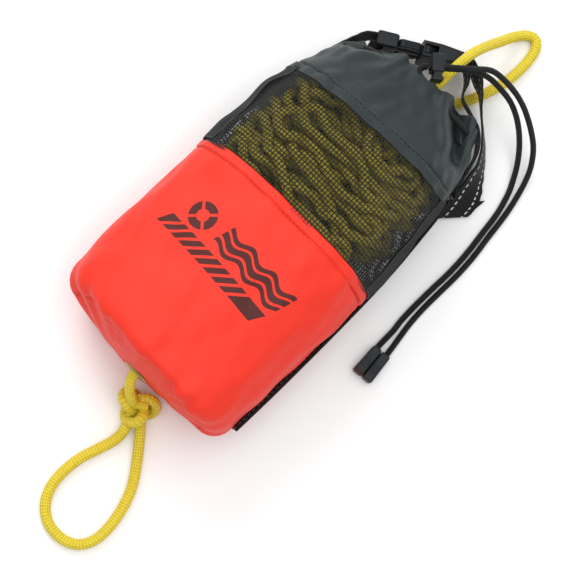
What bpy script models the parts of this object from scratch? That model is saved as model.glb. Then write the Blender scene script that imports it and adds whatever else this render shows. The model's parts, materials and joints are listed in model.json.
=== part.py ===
"""Throw rope bag, lying on its back.

Metres, +Z up.  +Y runs along the bag from its base to its mouth, +X is the bag's right
side, and the origin is on the flat of its back, under the middle of the lower shell.
The bag is a base panel, a nylon lower shell, a see-through mesh sleeve and a collar whose
hem carries a drawcord.  Inside are a foam disc and 21 m of floating rope; one end of the
rope leaves through a grommet in the base to a knot and a hand loop, the other end makes a
loop that comes out of the mouth.
"""

import math

import bmesh
import bpy
from mathutils import Matrix, Vector

# ---------------------------------------------------------------- driving dimensions
GAP = 0.0003                 # between pieces that touch

BODY_WIDTH = 0.132           # across the full bag
BODY_DEPTH = 0.085           # back to front of the full bag
BASE_Y = -0.0920             # where the base panel is sewn in
HEM_Y = 0.0270               # top hem of the lower shell
SEAM_Y = 0.0955              # seam between mesh and collar
MOUTH_Y = 0.1430             # edge of the mouth
BASE_ROUND_SIDE = 0.014      # rounding of the base's side corners
BASE_ROUND_FRONT = 0.006     # rounding of the base's front and back edges
BASE_BULGE = 0.004           # how far the base panel bows out
SEAM_WIDTH = 0.1200          # across the bag at the mesh and collar seam
SEAM_TOP = 0.076             # height of that seam over the ground
MOUTH_WIDTH = 0.0840         # across the gathered mouth
MOUTH_LOW = 0.007            # lowest and highest points of the mouth
MOUTH_TOP = 0.051
PRESSED = 0.005              # how much of the round section is pressed flat by its weight
SQUARENESS = 2.4             # 2 is an ellipse, more is boxier
WALL = 0.0008                # nylon, mesh and base fabric

HEM_WIDTH = 0.012            # channel for the drawcord, sewn flat

ROPE = 0.00635               # rope diameter
ROPE_GAP = 0.0006            # between the stuffed rope and the fabric
BUNDLE_LOW_Y = -0.0580       # the stuffed rope reaches from here
BUNDLE_TOP_Y = 0.1085        # to here
FOAM_THICKNESS = 0.010
FOAM_HOLE = ROPE * 1.9       # diameter of the rope's hole in the foam
EYELET_BORE = ROPE + 0.00085  # the rope passes through it
EYELET_FLANGE = 0.0170
EYELET_WALL = 0.0007
FLANGE_THICKNESS = 0.0010

DRAWCORD = 0.0036
HEM_SLOT = 5 * DRAWCORD      # gap in the channel where the drawcord comes out
HEM_THICKNESS = DRAWCORD + 2 * WALL + 0.0014
WEBBING = 0.020              # width
WEBBING_THICKNESS = 0.0014

LOCK_TRAVEL = 0.0022         # the button's travel
LOCK_WALL = 0.0009
LOCK_HEAD = 0.0022
SPRING_SOLID = 0.0013
SPRING_WIRE = 0.0004

BUCKLE_WIDTH = 0.0266
BUCKLE_THICKNESS = 0.0104
BUCKLE_BAR = 0.0023          # the bar that webbing turns round, along the buckle
BUCKLE_BAR_THICKNESS = 0.0026

END_LENGTH = 0.020           # moulded end on the drawcord's two tails
END_WIDTH = 0.0136
END_HEIGHT = 0.0088

RING = 48                    # points round a section of the bag
MOUTH_X = 0.0035             # the gathered mouth sits a little to the right


# ---------------------------------------------------------------- small tools
for old in list(bpy.data.objects):
    bpy.data.objects.remove(old, do_unlink=True)

parts = bpy.data.collections.new("throw_rope_bag")
cutters = bpy.data.collections.new("cutters")
bpy.context.scene.collection.children.link(parts)
bpy.context.scene.collection.children.link(cutters)


def finish(name, colour, roughness, metallic=0.0):
    material = bpy.data.materials.new(name)
    material.use_nodes = True
    shader = material.node_tree.nodes["Principled BSDF"]
    shader.inputs["Base Color"].default_value = (*colour, 1.0)
    shader.inputs["Roughness"].default_value = roughness
    shader.inputs["Metallic"].default_value = metallic
    return material


ORANGE_NYLON = finish("orange_nylon", (0.87, 0.06, 0.03), 0.55)
SLATE_NYLON = finish("slate_nylon", (0.05, 0.065, 0.07), 0.6)
BLACK_MESH = finish("black_mesh", (0.006, 0.007, 0.007), 0.7)
YELLOW_ROPE = finish("yellow_rope", (0.68, 0.50, 0.05), 0.6)
BLACK_CORD = finish("black_cord", (0.006, 0.007, 0.007), 0.65)
BLACK_WEBBING = finish("black_webbing", (0.008, 0.009, 0.009), 0.6)
BLACK_PLASTIC = finish("black_plastic", (0.012, 0.015, 0.018), 0.35)
GREY_FOAM = finish("grey_foam", (0.25, 0.25, 0.25), 0.8)
BRASS = finish("brass", (0.6, 0.35, 0.12), 0.35, 1.0)
SPRING_STEEL = finish("spring_steel", (0.5, 0.5, 0.5), 0.3, 1.0)


def add_mesh(name, shape, material, frame=None, cutter=False):
    """Make an object of a bmesh. frame places it; a cutter stays out of the model."""
    mesh = bpy.data.meshes.new(name)
    shape.to_mesh(mesh)
    shape.free()
    piece = bpy.data.objects.new(name, mesh)
    if frame is not None:
        piece.matrix_world = frame
    if cutter:
        piece.hide_render = True
        piece.display_type = "WIRE"
        cutters.objects.link(piece)
    else:
        mesh.materials.append(material)
        parts.objects.link(piece)
    return piece


def block(name, low, high, material=None, frame=None, rounding=0.0, cutter=False):
    """A box between two corners, with its edges rounded over."""
    low, high = Vector(low), Vector(high)
    shape = bmesh.new()
    fit = Matrix.Translation((low + high) / 2) @ Matrix.Diagonal((*(high - low), 1.0))
    bmesh.ops.create_cube(shape, size=1.0, matrix=fit)
    piece = add_mesh(name, shape, material, frame, cutter)
    if rounding:
        soften(piece, rounding)
    return piece


def soften(piece, width, segments=2):
    bevel = piece.modifiers.new("rounding", "BEVEL")
    bevel.width = width
    bevel.segments = segments
    bevel.limit_method = "ANGLE"


def thicken(piece, thickness, offset=-1.0):
    wall = piece.modifiers.new("wall", "SOLIDIFY")
    wall.thickness = thickness
    wall.offset = offset
    wall.use_even_offset = True


def combine(piece, other, operation):
    step = piece.modifiers.new(operation.lower(), "BOOLEAN")
    step.operation = operation
    step.object = other
    step.solver = "EXACT"


def cut_box(piece, low, high, frame=None):
    cutter = block(piece.name + "_cut", low, high, frame=frame, cutter=True)
    combine(piece, cutter, "DIFFERENCE")


def smooth_path(points, step):
    """Points about a step apart on the smooth curve through the given ones."""
    spots = [Vector(p) for p in points]
    before = spots[0] * 2 - spots[1]
    after = spots[-1] * 2 - spots[-2]
    spots = [before, *spots, after]
    fine = [spots[1]]
    for a, b, c, d in zip(spots, spots[1:], spots[2:], spots[3:]):
        knots = [0.0]
        for p, q in ((a, b), (b, c), (c, d)):
            knots.append(knots[-1] + max((q - p).length, 1e-9) ** 0.5)
        for i in range(1, 13):
            t = knots[1] + (knots[2] - knots[1]) * i / 12
            fine.append(barry_goldman((a, b, c, d), knots, t))
    lengths = [0.0]
    for p, q in zip(fine, fine[1:]):
        lengths.append(lengths[-1] + (q - p).length)
    count = max(2, round(lengths[-1] / step))
    path = []
    i = 0
    for k in range(count + 1):
        want = lengths[-1] * k / count
        while i < len(fine) - 2 and lengths[i + 1] < want:
            i += 1
        share = (want - lengths[i]) / max(lengths[i + 1] - lengths[i], 1e-9)
        path.append(fine[i].lerp(fine[i + 1], min(max(share, 0.0), 1.0)))
    return path


def barry_goldman(points, knots, t):
    """A point of the Catmull-Rom curve through four points, at t between the middle two."""
    level = list(points)
    for width in (1, 2, 3):
        level = [
            level[i] * ((knots[i + width] - t) / (knots[i + width] - knots[i]))
            + level[i + 1] * ((t - knots[i]) / (knots[i + width] - knots[i]))
            if width < 3
            else level[i] * ((knots[2] - t) / (knots[2] - knots[1]))
            + level[i + 1] * ((t - knots[1]) / (knots[2] - knots[1]))
            for i in range(len(level) - 1)
        ]
    return level[0]


def tube(name, points, diameter, material, step=2.5, sides=2, frame=None):
    """A cord: a smooth curve through the points, with a round section and closed ends."""
    curve = bpy.data.curves.new(name, "CURVE")
    curve.dimensions = "3D"
    curve.bevel_depth = diameter / 2
    curve.bevel_resolution = sides
    curve.use_fill_caps = True
    path = smooth_path(points, diameter * step)
    spline = curve.splines.new("POLY")
    spline.points.add(len(path) - 1)
    for spot, place in zip(spline.points, path):
        spot.co = (*place, 1.0)
    curve.materials.append(material)
    piece = bpy.data.objects.new(name, curve)
    if frame is not None:
        piece.matrix_world = frame
    parts.objects.link(piece)
    return piece


def turned(name, profile, centre, axis, material, steps=24):
    """A ring: a closed outline of (radius, height) points spun right round an axis."""
    shape = bmesh.new()
    spots = [shape.verts.new((r, 0.0, h)) for r, h in profile]
    edges = [shape.edges.new((a, b)) for a, b in zip(spots, spots[1:] + spots[:1])]
    bmesh.ops.spin(
        shape, geom=spots + edges, cent=(0, 0, 0), axis=(0, 0, 1),
        angle=math.tau, steps=steps, use_merge=True,
    )
    bmesh.ops.remove_doubles(shape, verts=shape.verts, dist=1e-6)
    bmesh.ops.recalc_face_normals(shape, faces=shape.faces)
    turn = Vector((0, 0, 1)).rotation_difference(Vector(axis)).to_matrix().to_4x4()
    return add_mesh(name, shape, material, Matrix.Translation(centre) @ turn)


# ---------------------------------------------------------------- the bag's own outline
def blend_along(y, stations, column):
    """A value of the stations' table at y, smooth from each station to the next."""
    ys = [row[0] for row in stations]
    values = [row[column] for row in stations]
    if y <= ys[0]:
        return values[0]
    if y >= ys[-1]:
        return values[-1]
    slopes = []
    for i in range(len(ys)):
        a, b = max(i - 1, 0), min(i + 1, len(ys) - 1)
        slopes.append((values[b] - values[a]) / (ys[b] - ys[a]))
    i = max(k for k in range(len(ys) - 1) if ys[k] <= y)
    span = ys[i + 1] - ys[i]
    t = (y - ys[i]) / span
    return (
        values[i] * (1 + 2 * t) * (1 - t) ** 2
        + slopes[i] * span * t * (1 - t) ** 2
        + values[i + 1] * t * t * (3 - 2 * t)
        + slopes[i + 1] * span * t * t * (t - 1)
    )


FLAT_LENGTH = MOUTH_Y - SEAM_Y
# y, half width, middle in x, lowest z, highest z, skew (how far y leans along with x)
STATIONS = [
    (BASE_Y, BODY_WIDTH / 2 - 0.0010, 0.0005, -PRESSED, BODY_DEPTH - 0.0010, -0.045),
    (BASE_Y + 0.050, BODY_WIDTH / 2, 0.0010, -PRESSED, BODY_DEPTH, -0.020),
    (HEM_Y, BODY_WIDTH / 2 - 0.0005, 0.0015, -PRESSED, BODY_DEPTH, 0.010),
    ((HEM_Y + SEAM_Y) / 2, (BODY_WIDTH + SEAM_WIDTH) / 4 + 0.0010, 0.0010,
     -PRESSED * 0.8, (BODY_DEPTH + SEAM_TOP) / 2 + 0.0015, 0.020),
    (SEAM_Y, SEAM_WIDTH / 2, 0.0010, -PRESSED * 0.3, SEAM_TOP, 0.055),
    (SEAM_Y + FLAT_LENGTH * 0.55, (SEAM_WIDTH * 0.55 + MOUTH_WIDTH * 0.45) / 2 + 0.0010,
     MOUTH_X * 0.6, MOUTH_LOW * 0.45, SEAM_TOP * 0.45 + MOUTH_TOP * 0.55, 0.075),
    (MOUTH_Y, MOUTH_WIDTH / 2, MOUTH_X, MOUTH_LOW, MOUTH_TOP, 0.090),
]


def corner_inset(y, rounding):
    """How far the outline has come in at y, where the base is rounded over."""
    rise = y - BASE_Y
    if rise >= rounding:
        return 0.0
    return rounding - math.sqrt(rounding**2 - (rounding - rise) ** 2)


def section(y, inset=0.0, share=1.0):
    """The bag's outline across at y: points from its right side over the front and back."""
    half = blend_along(y, STATIONS, 1) - corner_inset(y, BASE_ROUND_SIDE) - inset
    middle = blend_along(y, STATIONS, 2)
    round_z = corner_inset(y, BASE_ROUND_FRONT)
    low = blend_along(y, STATIONS, 3) + round_z + inset
    high = blend_along(y, STATIONS, 4) - round_z - inset
    skew = blend_along(y, STATIONS, 5)
    power = 2 / SQUARENESS
    ring = []
    for k in range(RING):
        angle = math.tau * k / RING
        across = math.copysign(abs(math.cos(angle)) ** power, math.cos(angle))
        up = math.copysign(abs(math.sin(angle)) ** power, math.sin(angle))
        x = half * share * across
        z = (low + high) / 2 + (high - low) / 2 * share * up
        ring.append(Vector((middle + x, y + skew * x, max(z, inset + round_z * 0.5))))
    return ring


def loft(rings, closed_ends=False):
    """A skin through rings with the same number of points, facing out."""
    shape = bmesh.new()
    loops = []
    for ring in rings:
        made = bmesh.ops.create_circle(shape, segments=len(ring), radius=1.0)["verts"]
        for spot, place in zip(made, ring):
            spot.co = place
        loops.append(made)
    for a, b in zip(loops, loops[1:]):
        members = set(a) | set(b)
        edges = [
            e for e in shape.edges
            if (e.verts[0] in members and e.verts[1] in members)
            and (set(e.verts) <= set(a) or set(e.verts) <= set(b))
        ]
        bmesh.ops.bridge_loops(shape, edges=edges)
    if closed_ends:
        shape.faces.new(loops[0])
        shape.faces.new(loops[-1])
    bmesh.ops.recalc_face_normals(shape, faces=shape.faces)
    middle = sum((v.co for v in shape.verts), Vector()) / len(shape.verts)
    outward = sum(f.normal.dot(f.calc_center_median() - middle) * f.calc_area() for f in shape.faces)
    if outward < 0:
        bmesh.ops.reverse_faces(shape, faces=shape.faces)
    return shape


def steps_between(a, b, count):
    return [a + (b - a) * i / count for i in range(count + 1)]


def sleeve(name, heights, material):
    piece = add_mesh(name, loft([section(y) for y in heights]), material)
    thicken(piece, WALL)
    return piece


base_steps = [BASE_Y + BASE_ROUND_SIDE * s for s in (0.0, 0.08, 0.25, 0.55, 1.0)]
lower_shell = sleeve(
    "lower_shell", base_steps + steps_between(BASE_Y + 0.030, HEM_Y, 5), ORANGE_NYLON
)
mesh_sleeve = sleeve("mesh_sleeve", steps_between(HEM_Y + GAP, SEAM_Y, 6), BLACK_MESH)
collar = sleeve(
    "collar", steps_between(SEAM_Y + GAP, MOUTH_Y - HEM_WIDTH - GAP, 5), SLATE_NYLON
)


# ---------------------------------------------------------------- base panel and its eyelet
PANEL_RIM_Y = BASE_Y - GAP - WALL
EYELET = Vector((0.0035, PANEL_RIM_Y - BASE_BULGE, 0.038))
PANEL_HOLE = EYELET_BORE / 2 + EYELET_WALL + GAP


def panel_ring(share, flat_radius):
    """A ring of the base panel: a circle round the eyelet at share 0, its rim at share 1."""
    ring = []
    for k, rim in enumerate(section(BASE_Y)):
        angle = math.tau * k / RING
        near = EYELET + Vector((math.cos(angle), 0, math.sin(angle))) * flat_radius
        spot = near.lerp(rim, share)
        spot.y = EYELET.y + (rim.y - BASE_Y + PANEL_RIM_Y - EYELET.y) * share**2
        ring.append(spot)
    return ring


flat_edge = EYELET_FLANGE / 2 + 0.001
panel = [panel_ring(0.0, PANEL_HOLE)]
panel += [panel_ring(share, flat_edge) for share in (0.0, 0.3, 0.6, 0.85, 1.0)]
skin = loft(panel)
towards = sum(f.normal.y * f.calc_area() for f in skin.faces)
if towards > 0:
    bmesh.ops.reverse_faces(skin, faces=skin.faces)
base_panel = add_mesh("base_panel", skin, ORANGE_NYLON)
thicken(base_panel, WALL)

bore = EYELET_BORE / 2
# heights run outwards from the base, so the flange is outside and the barrel goes in
barrel_depth = WALL + GAP + FLANGE_THICKNESS
turned(
    "base_grommet",
    [
        (bore, -barrel_depth), (bore + EYELET_WALL, -barrel_depth),
        (bore + EYELET_WALL, GAP), (EYELET_FLANGE / 2, GAP),
        (EYELET_FLANGE / 2 - 0.0006, GAP + FLANGE_THICKNESS),
        (bore + 0.0006, GAP + FLANGE_THICKNESS), (bore, GAP + FLANGE_THICKNESS - 0.0005),
    ],
    EYELET, (0, -1, 0), BRASS,
)
turned(
    "grommet_washer",
    [
        (bore + EYELET_WALL + GAP, -WALL - GAP - FLANGE_THICKNESS),
        (EYELET_FLANGE / 2, -WALL - GAP - FLANGE_THICKNESS),
        (EYELET_FLANGE / 2, -WALL - GAP), (bore + EYELET_WALL + GAP, -WALL - GAP),
    ],
    EYELET, (0, -1, 0), BRASS,
)

# ---------------------------------------------------------------- what the bag holds
foam_start = BASE_Y + 0.0050
foam_inset = WALL + 2 * ROPE_GAP
foam_rings = [section(foam_start + FOAM_THICKNESS * s, foam_inset) for s in (0.0, 0.3, 0.6, 1.0)]
float_foam = add_mesh("float_foam", loft(foam_rings, closed_ends=True), GREY_FOAM)
hole = bmesh.new()
through = Matrix.Translation((EYELET.x, BASE_Y, EYELET.z)) @ Matrix.Rotation(math.pi / 2, 4, "X")
bmesh.ops.create_cone(
    hole, cap_ends=True, segments=24, radius1=FOAM_HOLE / 2, radius2=FOAM_HOLE / 2,
    depth=0.08, matrix=through,
)
combine(float_foam, add_mesh("foam_hole", hole, None, cutter=True), "DIFFERENCE")

fill = WALL + ROPE_GAP
bundle_rings = [section(BUNDLE_LOW_Y, fill, 0.80), section(BUNDLE_LOW_Y + 0.003, fill, 0.92)]
bundle_rings += [section(y, fill) for y in steps_between(BUNDLE_LOW_Y + 0.010, BUNDLE_TOP_Y - 0.010, 9)]
bundle_rings += [section(BUNDLE_TOP_Y - 0.003, fill, 0.92), section(BUNDLE_TOP_Y, fill, 0.78)]
add_mesh("rope_bundle", loft(bundle_rings, closed_ends=True), YELLOW_ROPE)


# ---------------------------------------------------------------- knots and loops of rope
def knot(name, centre, radii, turn=0.0):
    shape = bmesh.new()
    fit = Matrix.Rotation(turn, 4, "Z") @ Matrix.Diagonal((*radii, 1.0))
    bmesh.ops.create_uvsphere(shape, u_segments=20, v_segments=12, radius=1.0, matrix=fit)
    return add_mesh(name, shape, YELLOW_ROPE, Matrix.Translation(centre))


def on_knot(centre, radii, towards, clearance=GAP):
    """The point just off an upright knot's surface, in the direction of another point."""
    way = Vector(towards) - Vector(centre)
    reach = 1 / math.sqrt(sum((w / r) ** 2 for w, r in zip(way, radii)))
    return Vector(centre) + way * reach + way.normalized() * (clearance + 0.0004)


BASE_KNOT = Vector((0.0180, BASE_Y - 0.0172, 0.0100))
BASE_KNOT_SIZE = (0.0130, 0.0125, 0.0097)
STOPPER = Vector((EYELET.x, BUNDLE_LOW_Y - 0.0093, EYELET.z))
STOPPER_SIZE = (0.0100, 0.0088, 0.0100)
MOUTH_KNOT = Vector((0.0080, BUNDLE_TOP_Y + 0.0115, 0.0300))
MOUTH_KNOT_SIZE = (0.0130, 0.0108, 0.0105)

knot("bottom_knot", BASE_KNOT, BASE_KNOT_SIZE)
knot("stopper_knot", STOPPER, STOPPER_SIZE)
knot("top_knot", MOUTH_KNOT, MOUTH_KNOT_SIZE)

tail_route = [
    EYELET + Vector((0.0, 0.010, 0.0)),
    EYELET + Vector((0.0, 0.004, 0.0)),
    EYELET + Vector((0.0, -0.0015, 0.0)),
    EYELET + Vector((0.0015, -0.0060, -0.0022)),
    EYELET + Vector((0.0050, -0.0098, -0.0080)),
    EYELET + Vector((0.0090, -0.0118, -0.0145)),
]
tube(
    "rope_tail",
    [on_knot(STOPPER, STOPPER_SIZE, EYELET)] + tail_route
    + [on_knot(BASE_KNOT, BASE_KNOT_SIZE, tail_route[-1])],
    ROPE, YELLOW_ROPE, step=0.9, sides=3,
)

ON_GROUND = ROPE / 2 + 0.0002
hand_loop = [
    (0.0226, -0.1300, ON_GROUND), (0.0193, -0.1422, ON_GROUND), (0.0158, -0.1530, ON_GROUND),
    (0.0143, -0.1640, ON_GROUND), (0.0147, -0.1740, ON_GROUND), (0.0176, -0.1828, ON_GROUND),
    (0.0225, -0.1890, ON_GROUND), (0.0292, -0.1930, ON_GROUND), (0.0378, -0.1943, ON_GROUND),
    (0.0460, -0.1926, ON_GROUND), (0.0516, -0.1885, ON_GROUND), (0.0552, -0.1820, ON_GROUND),
    (0.0563, -0.1730, ON_GROUND), (0.0552, -0.1628, ON_GROUND), (0.0528, -0.1532, ON_GROUND),
    (0.0494, -0.1448, ON_GROUND), (0.0450, -0.1376, ON_GROUND), (0.0385, -0.1290, 0.0040),
    (0.0330, -0.1222, 0.0056),
]
hand_loop = [(x, y + BASE_Y + 0.0920, z) for x, y, z in hand_loop]
tube(
    "bottom_loop",
    [on_knot(BASE_KNOT, BASE_KNOT_SIZE, hand_loop[0])] + hand_loop
    + [on_knot(BASE_KNOT, BASE_KNOT_SIZE, hand_loop[-1])],
    ROPE, YELLOW_ROPE, step=0.9, sides=3,
)

# past the mouth, a route is given from the middle of the mouth's edge: x, y, height
AT_MOUTH = Vector((0.0, MOUTH_Y, 0.0))
mouth_loop = [
    (0.0075, -0.0060, 0.0335), (0.0088, 0.0050, 0.0350), (0.0090, 0.0150, 0.0352),
    (0.0090, 0.0250, 0.0352), (0.0103, 0.0372, 0.0322), (0.0132, 0.0488, 0.0240),
    (0.0166, 0.0597, 0.0140), (0.0208, 0.0712, 0.0062), (0.0258, 0.0784, ON_GROUND),
    (0.0308, 0.0801, ON_GROUND), (0.0348, 0.0762, ON_GROUND), (0.0369, 0.0672, ON_GROUND),
    (0.0371, 0.0545, ON_GROUND), (0.0350, 0.0420, ON_GROUND), (0.0312, 0.0300, ON_GROUND),
    (0.0268, 0.0195, 0.0048), (0.0228, 0.0125, 0.0085), (0.0195, 0.0060, 0.0132),
    (0.0170, -0.0010, 0.0175), (0.0150, -0.0080, 0.0215),
]
mouth_loop = [AT_MOUTH + Vector(p) for p in mouth_loop]
tube(
    "top_loop",
    [on_knot(MOUTH_KNOT, MOUTH_KNOT_SIZE, mouth_loop[0])] + mouth_loop
    + [on_knot(MOUTH_KNOT, MOUTH_KNOT_SIZE, mouth_loop[-1])],
    ROPE, YELLOW_ROPE, step=0.9, sides=3,
)

# ---------------------------------------------------------------- hem channel and drawcord
HEM_MIDDLE = MOUTH_Y - HEM_WIDTH / 2


def hem_line(slot):
    """The middle of the channel, from one side of the slot at the front to the other."""
    ring = section(HEM_MIDDLE, HEM_THICKNESS / 2)
    middle = blend_along(HEM_MIDDLE, STATIONS, 2)
    first = RING // 4
    ring = ring[first:] + ring[: first + 1]
    inside = [p for p in ring if abs(p.x - middle) > slot / 2 or p.z < BODY_DEPTH * 0.4]
    for end, sign in ((0, -1), (-1, 1)):
        edge = inside[end].copy()
        edge.x = middle + sign * slot / 2
        edge.y = HEM_MIDDLE + (inside[end].y - HEM_MIDDLE) * (slot / 2) / abs(inside[end].x - middle)
        inside.insert(0 if end == 0 else len(inside), edge)
    return inside


def across_the_path(path):
    """For each point, the direction along the path."""
    ways = []
    for i in range(len(path)):
        a, b = path[max(i - 1, 0)], path[min(i + 1, len(path) - 1)]
        ways.append((b - a).normalized())
    return ways


hem_path = smooth_path(hem_line(HEM_SLOT), 0.0045)
hem_rings = []
for spot, way in zip(hem_path, across_the_path(hem_path)):
    along = Vector((0, 1, 0))
    out = way.cross(along).normalized()
    ring = []
    for k in range(12):
        angle = math.tau * k / 12
        ring.append(
            spot + along * (math.cos(angle) * HEM_WIDTH / 2)
            + out * (math.sin(angle) * HEM_THICKNESS / 2)
        )
    hem_rings.append(ring)
channel = loft(hem_rings)
start = sum(hem_rings[len(hem_rings) // 2], Vector()) / 12
probe = min(channel.faces, key=lambda f: (f.calc_center_median() - start).length)
if probe.normal.dot(probe.calc_center_median() - start) < 0:
    bmesh.ops.reverse_faces(channel, faces=channel.faces)
hem_channel = add_mesh("hem_channel", channel, SLATE_NYLON)
thicken(hem_channel, WALL)

# the two strands lie one over the other through the cord lock and leave it at this angle
LOCK_TURN = math.radians(42)
HEM_Z = max(spot.z for spot in hem_path)
LOCK = AT_MOUTH + Vector((0.0015, 0.0098, HEM_Z))
LOCK_FRAME = Matrix.Translation(LOCK) @ Matrix.Rotation(LOCK_TURN, 4, "Z")
ALONG = LOCK_FRAME.to_3x3() @ Vector((1, 0, 0))
STRAND = DRAWCORD / 2 + GAP / 2
UP = Vector((0, 0, STRAND))
lock_half_length = 0.0040
entry = LOCK - ALONG * (lock_half_length + 0.0018)
left_end = [
    AT_MOUTH + Vector((-0.0042, -0.0062, HEM_Z - 0.0003)),
    AT_MOUTH + Vector((-0.0034, -0.0025, HEM_Z - 0.0012)),
    AT_MOUTH + Vector((-0.0046, 0.0015, HEM_Z - 0.0018)),
]
right_end = [
    AT_MOUTH + Vector((0.0080, -0.0052, HEM_Z + 0.0001)),
    AT_MOUTH + Vector((0.0020, -0.0045, HEM_Z + 0.0008)),
    AT_MOUTH + Vector((-0.0030, -0.0015, HEM_Z + 0.0016)),
    AT_MOUTH + Vector((-0.0050, 0.0020, HEM_Z + 0.0018)),
]
tube(
    "drawcord_hem",
    [entry - UP, entry - UP - ALONG * 0.0020] + left_end[::-1] + hem_path
    + right_end + [entry + UP - ALONG * 0.0020, entry + UP],
    DRAWCORD, BLACK_CORD, step=1.6,
)

SIDE = BODY_WIDTH / 2
CORD_ON_GROUND = DRAWCORD / 2 + 0.0002
left_tail = [
    (0.0266, 0.0296, 0.0432), (0.0362, 0.0312, 0.0392), (0.0460, 0.0314, 0.0345),
    (0.0540, 0.0298, 0.0290), (0.0605, 0.0274, 0.0230), (0.0665, 0.0242, 0.0165),
]
left_tail += [(SIDE + x, y, z) for x, y, z in (
    (0.0059, 0.0200, 0.0110), (0.0109, 0.0146, 0.0065), (0.0150, 0.0085, 0.0032),
    (0.0188, 0.0010, CORD_ON_GROUND), (0.0213, -0.0068, CORD_ON_GROUND),
    (0.0233, -0.0155, CORD_ON_GROUND), (0.0251, -0.0300, CORD_ON_GROUND),
    (0.0265, -0.0410, CORD_ON_GROUND), (0.0273, -0.0505, CORD_ON_GROUND),
    (0.0276, -0.0620, CORD_ON_GROUND), (0.0272, -0.0735, CORD_ON_GROUND),
    (0.0269, -0.0850, CORD_ON_GROUND), (0.0269, -0.0950, CORD_ON_GROUND),
    (0.0272, -0.1035, CORD_ON_GROUND), (0.0280, -0.1108, 0.0026),
)]
right_tail = [
    (0.0258, 0.0326, 0.0480), (0.0358, 0.0350, 0.0446), (0.0460, 0.0356, 0.0396),
    (0.0544, 0.0348, 0.0342), (0.0620, 0.0328, 0.0288), (0.0686, 0.0304, 0.0235),
]
right_tail += [(SIDE + x, y, z) for x, y, z in (
    (0.0088, 0.0274, 0.0180), (0.0142, 0.0232, 0.0120), (0.0188, 0.0174, 0.0070),
    (0.0220, 0.0104, 0.0036), (0.0243, 0.0028, CORD_ON_GROUND),
    (0.0262, -0.0055, CORD_ON_GROUND), (0.0277, -0.0145, CORD_ON_GROUND),
    (0.0295, -0.0300, CORD_ON_GROUND), (0.0310, -0.0410, CORD_ON_GROUND),
    (0.0318, -0.0505, CORD_ON_GROUND), (0.0321, -0.0620, CORD_ON_GROUND),
    (0.0318, -0.0735, CORD_ON_GROUND), (0.0316, -0.0850, CORD_ON_GROUND),
    (0.0318, -0.0950, CORD_ON_GROUND), (0.0325, -0.1035, CORD_ON_GROUND),
    (0.0335, -0.1108, 0.0028),
)]
STRAIGHT = 0.0160            # straight run past the lock, along which it can slide
CORD_END_TURN = math.radians(5)
CORD_END = AT_MOUTH + Vector((SIDE + 0.0327, -0.1350, END_HEIGHT / 2 + 0.0002))
CORD_END_FRAME = Matrix.Translation(CORD_END) @ Matrix.Rotation(CORD_END_TURN, 4, "Z")
END_BORE = DRAWCORD / 2 + GAP
END_BORE_DEPTH = 0.0070
END_BORE_X = END_WIDTH / 4 + 0.0001


def tail(name, side, route, level):
    start = LOCK + UP * level - ALONG * (lock_half_length + 0.0005)
    lead = [start + ALONG * s for s in (0.0, 0.006, 0.012, lock_half_length * 2 + STRAIGHT)]
    bottom = CORD_END_FRAME @ Vector((side * END_BORE_X, END_LENGTH / 2 - END_BORE_DEPTH + GAP, -0.0012))
    mouth = CORD_END_FRAME @ Vector((side * END_BORE_X, END_LENGTH / 2 + 0.002, -0.0012))
    points = lead + [AT_MOUTH + Vector(p) for p in route] + [mouth, bottom]
    return tube(name, points, DRAWCORD, BLACK_CORD, step=1.6)


tail("drawcord_tail_left", -1, left_tail, -1)
tail("drawcord_tail_right", 1, right_tail, 1)

for side, word in ((-1, "left"), (1, "right")):
    inner, outer = side * GAP / 2, side * END_WIDTH / 2
    half = block(
        "cord_end_" + word,
        (min(inner, outer), -END_LENGTH / 2, -END_HEIGHT / 2),
        (max(inner, outer), END_LENGTH / 2, END_HEIGHT / 2),
        BLACK_PLASTIC, CORD_END_FRAME, rounding=0.0014,
    )
    cut_box(
        half,
        (side * END_BORE_X - END_BORE, END_LENGTH / 2 - END_BORE_DEPTH, -0.0012 - END_BORE),
        (side * END_BORE_X + END_BORE, END_LENGTH, -0.0012 + END_BORE),
        CORD_END_FRAME,
    )

# ---------------------------------------------------------------- cord lock
# in its frame x runs along the cords, y along the button's travel (button at -y), z up
hole_y = DRAWCORD / 2 + GAP
hole_z = DRAWCORD + GAP * 1.5
slab_z = hole_z + 0.0009
slab_x = 0.0024
foot = hole_y + 0.0010
well = foot + LOCK_TRAVEL + SPRING_SOLID
barrel_face = hole_y + 0.0015
head_sunk = 0.0004
head_at = barrel_face + LOCK_TRAVEL + GAP + head_sunk
barrel = block(
    "cord_lock_barrel",
    (-lock_half_length, -barrel_face, -slab_z - GAP - LOCK_WALL),
    (lock_half_length, well + LOCK_WALL, slab_z + GAP + LOCK_WALL),
    BLACK_PLASTIC, LOCK_FRAME, rounding=0.0012,
)
cut_box(
    barrel,
    (-slab_x - GAP, -barrel_face - 0.01, -slab_z - GAP),
    (slab_x + GAP, well, slab_z + GAP),
    LOCK_FRAME,
)
cut_box(barrel, (-0.02, -hole_y, -hole_z), (0.02, hole_y, hole_z), LOCK_FRAME)

plunger = block(
    "cord_lock_plunger", (-slab_x, -head_at, -slab_z), (slab_x, foot, slab_z),
    BLACK_PLASTIC, LOCK_FRAME,
)
head = block(
    "plunger_head",
    (-lock_half_length + 0.0006, -head_at - LOCK_HEAD, -slab_z - LOCK_WALL * 0.6),
    (lock_half_length - 0.0006, -head_at + head_sunk, slab_z + LOCK_WALL * 0.6),
    frame=LOCK_FRAME, rounding=0.0008, cutter=True,
)
combine(plunger, head, "UNION")
cut_box(
    plunger,
    (-0.02, -hole_y - LOCK_TRAVEL, -hole_z),
    (0.02, hole_y, hole_z),
    LOCK_FRAME,
)

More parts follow.
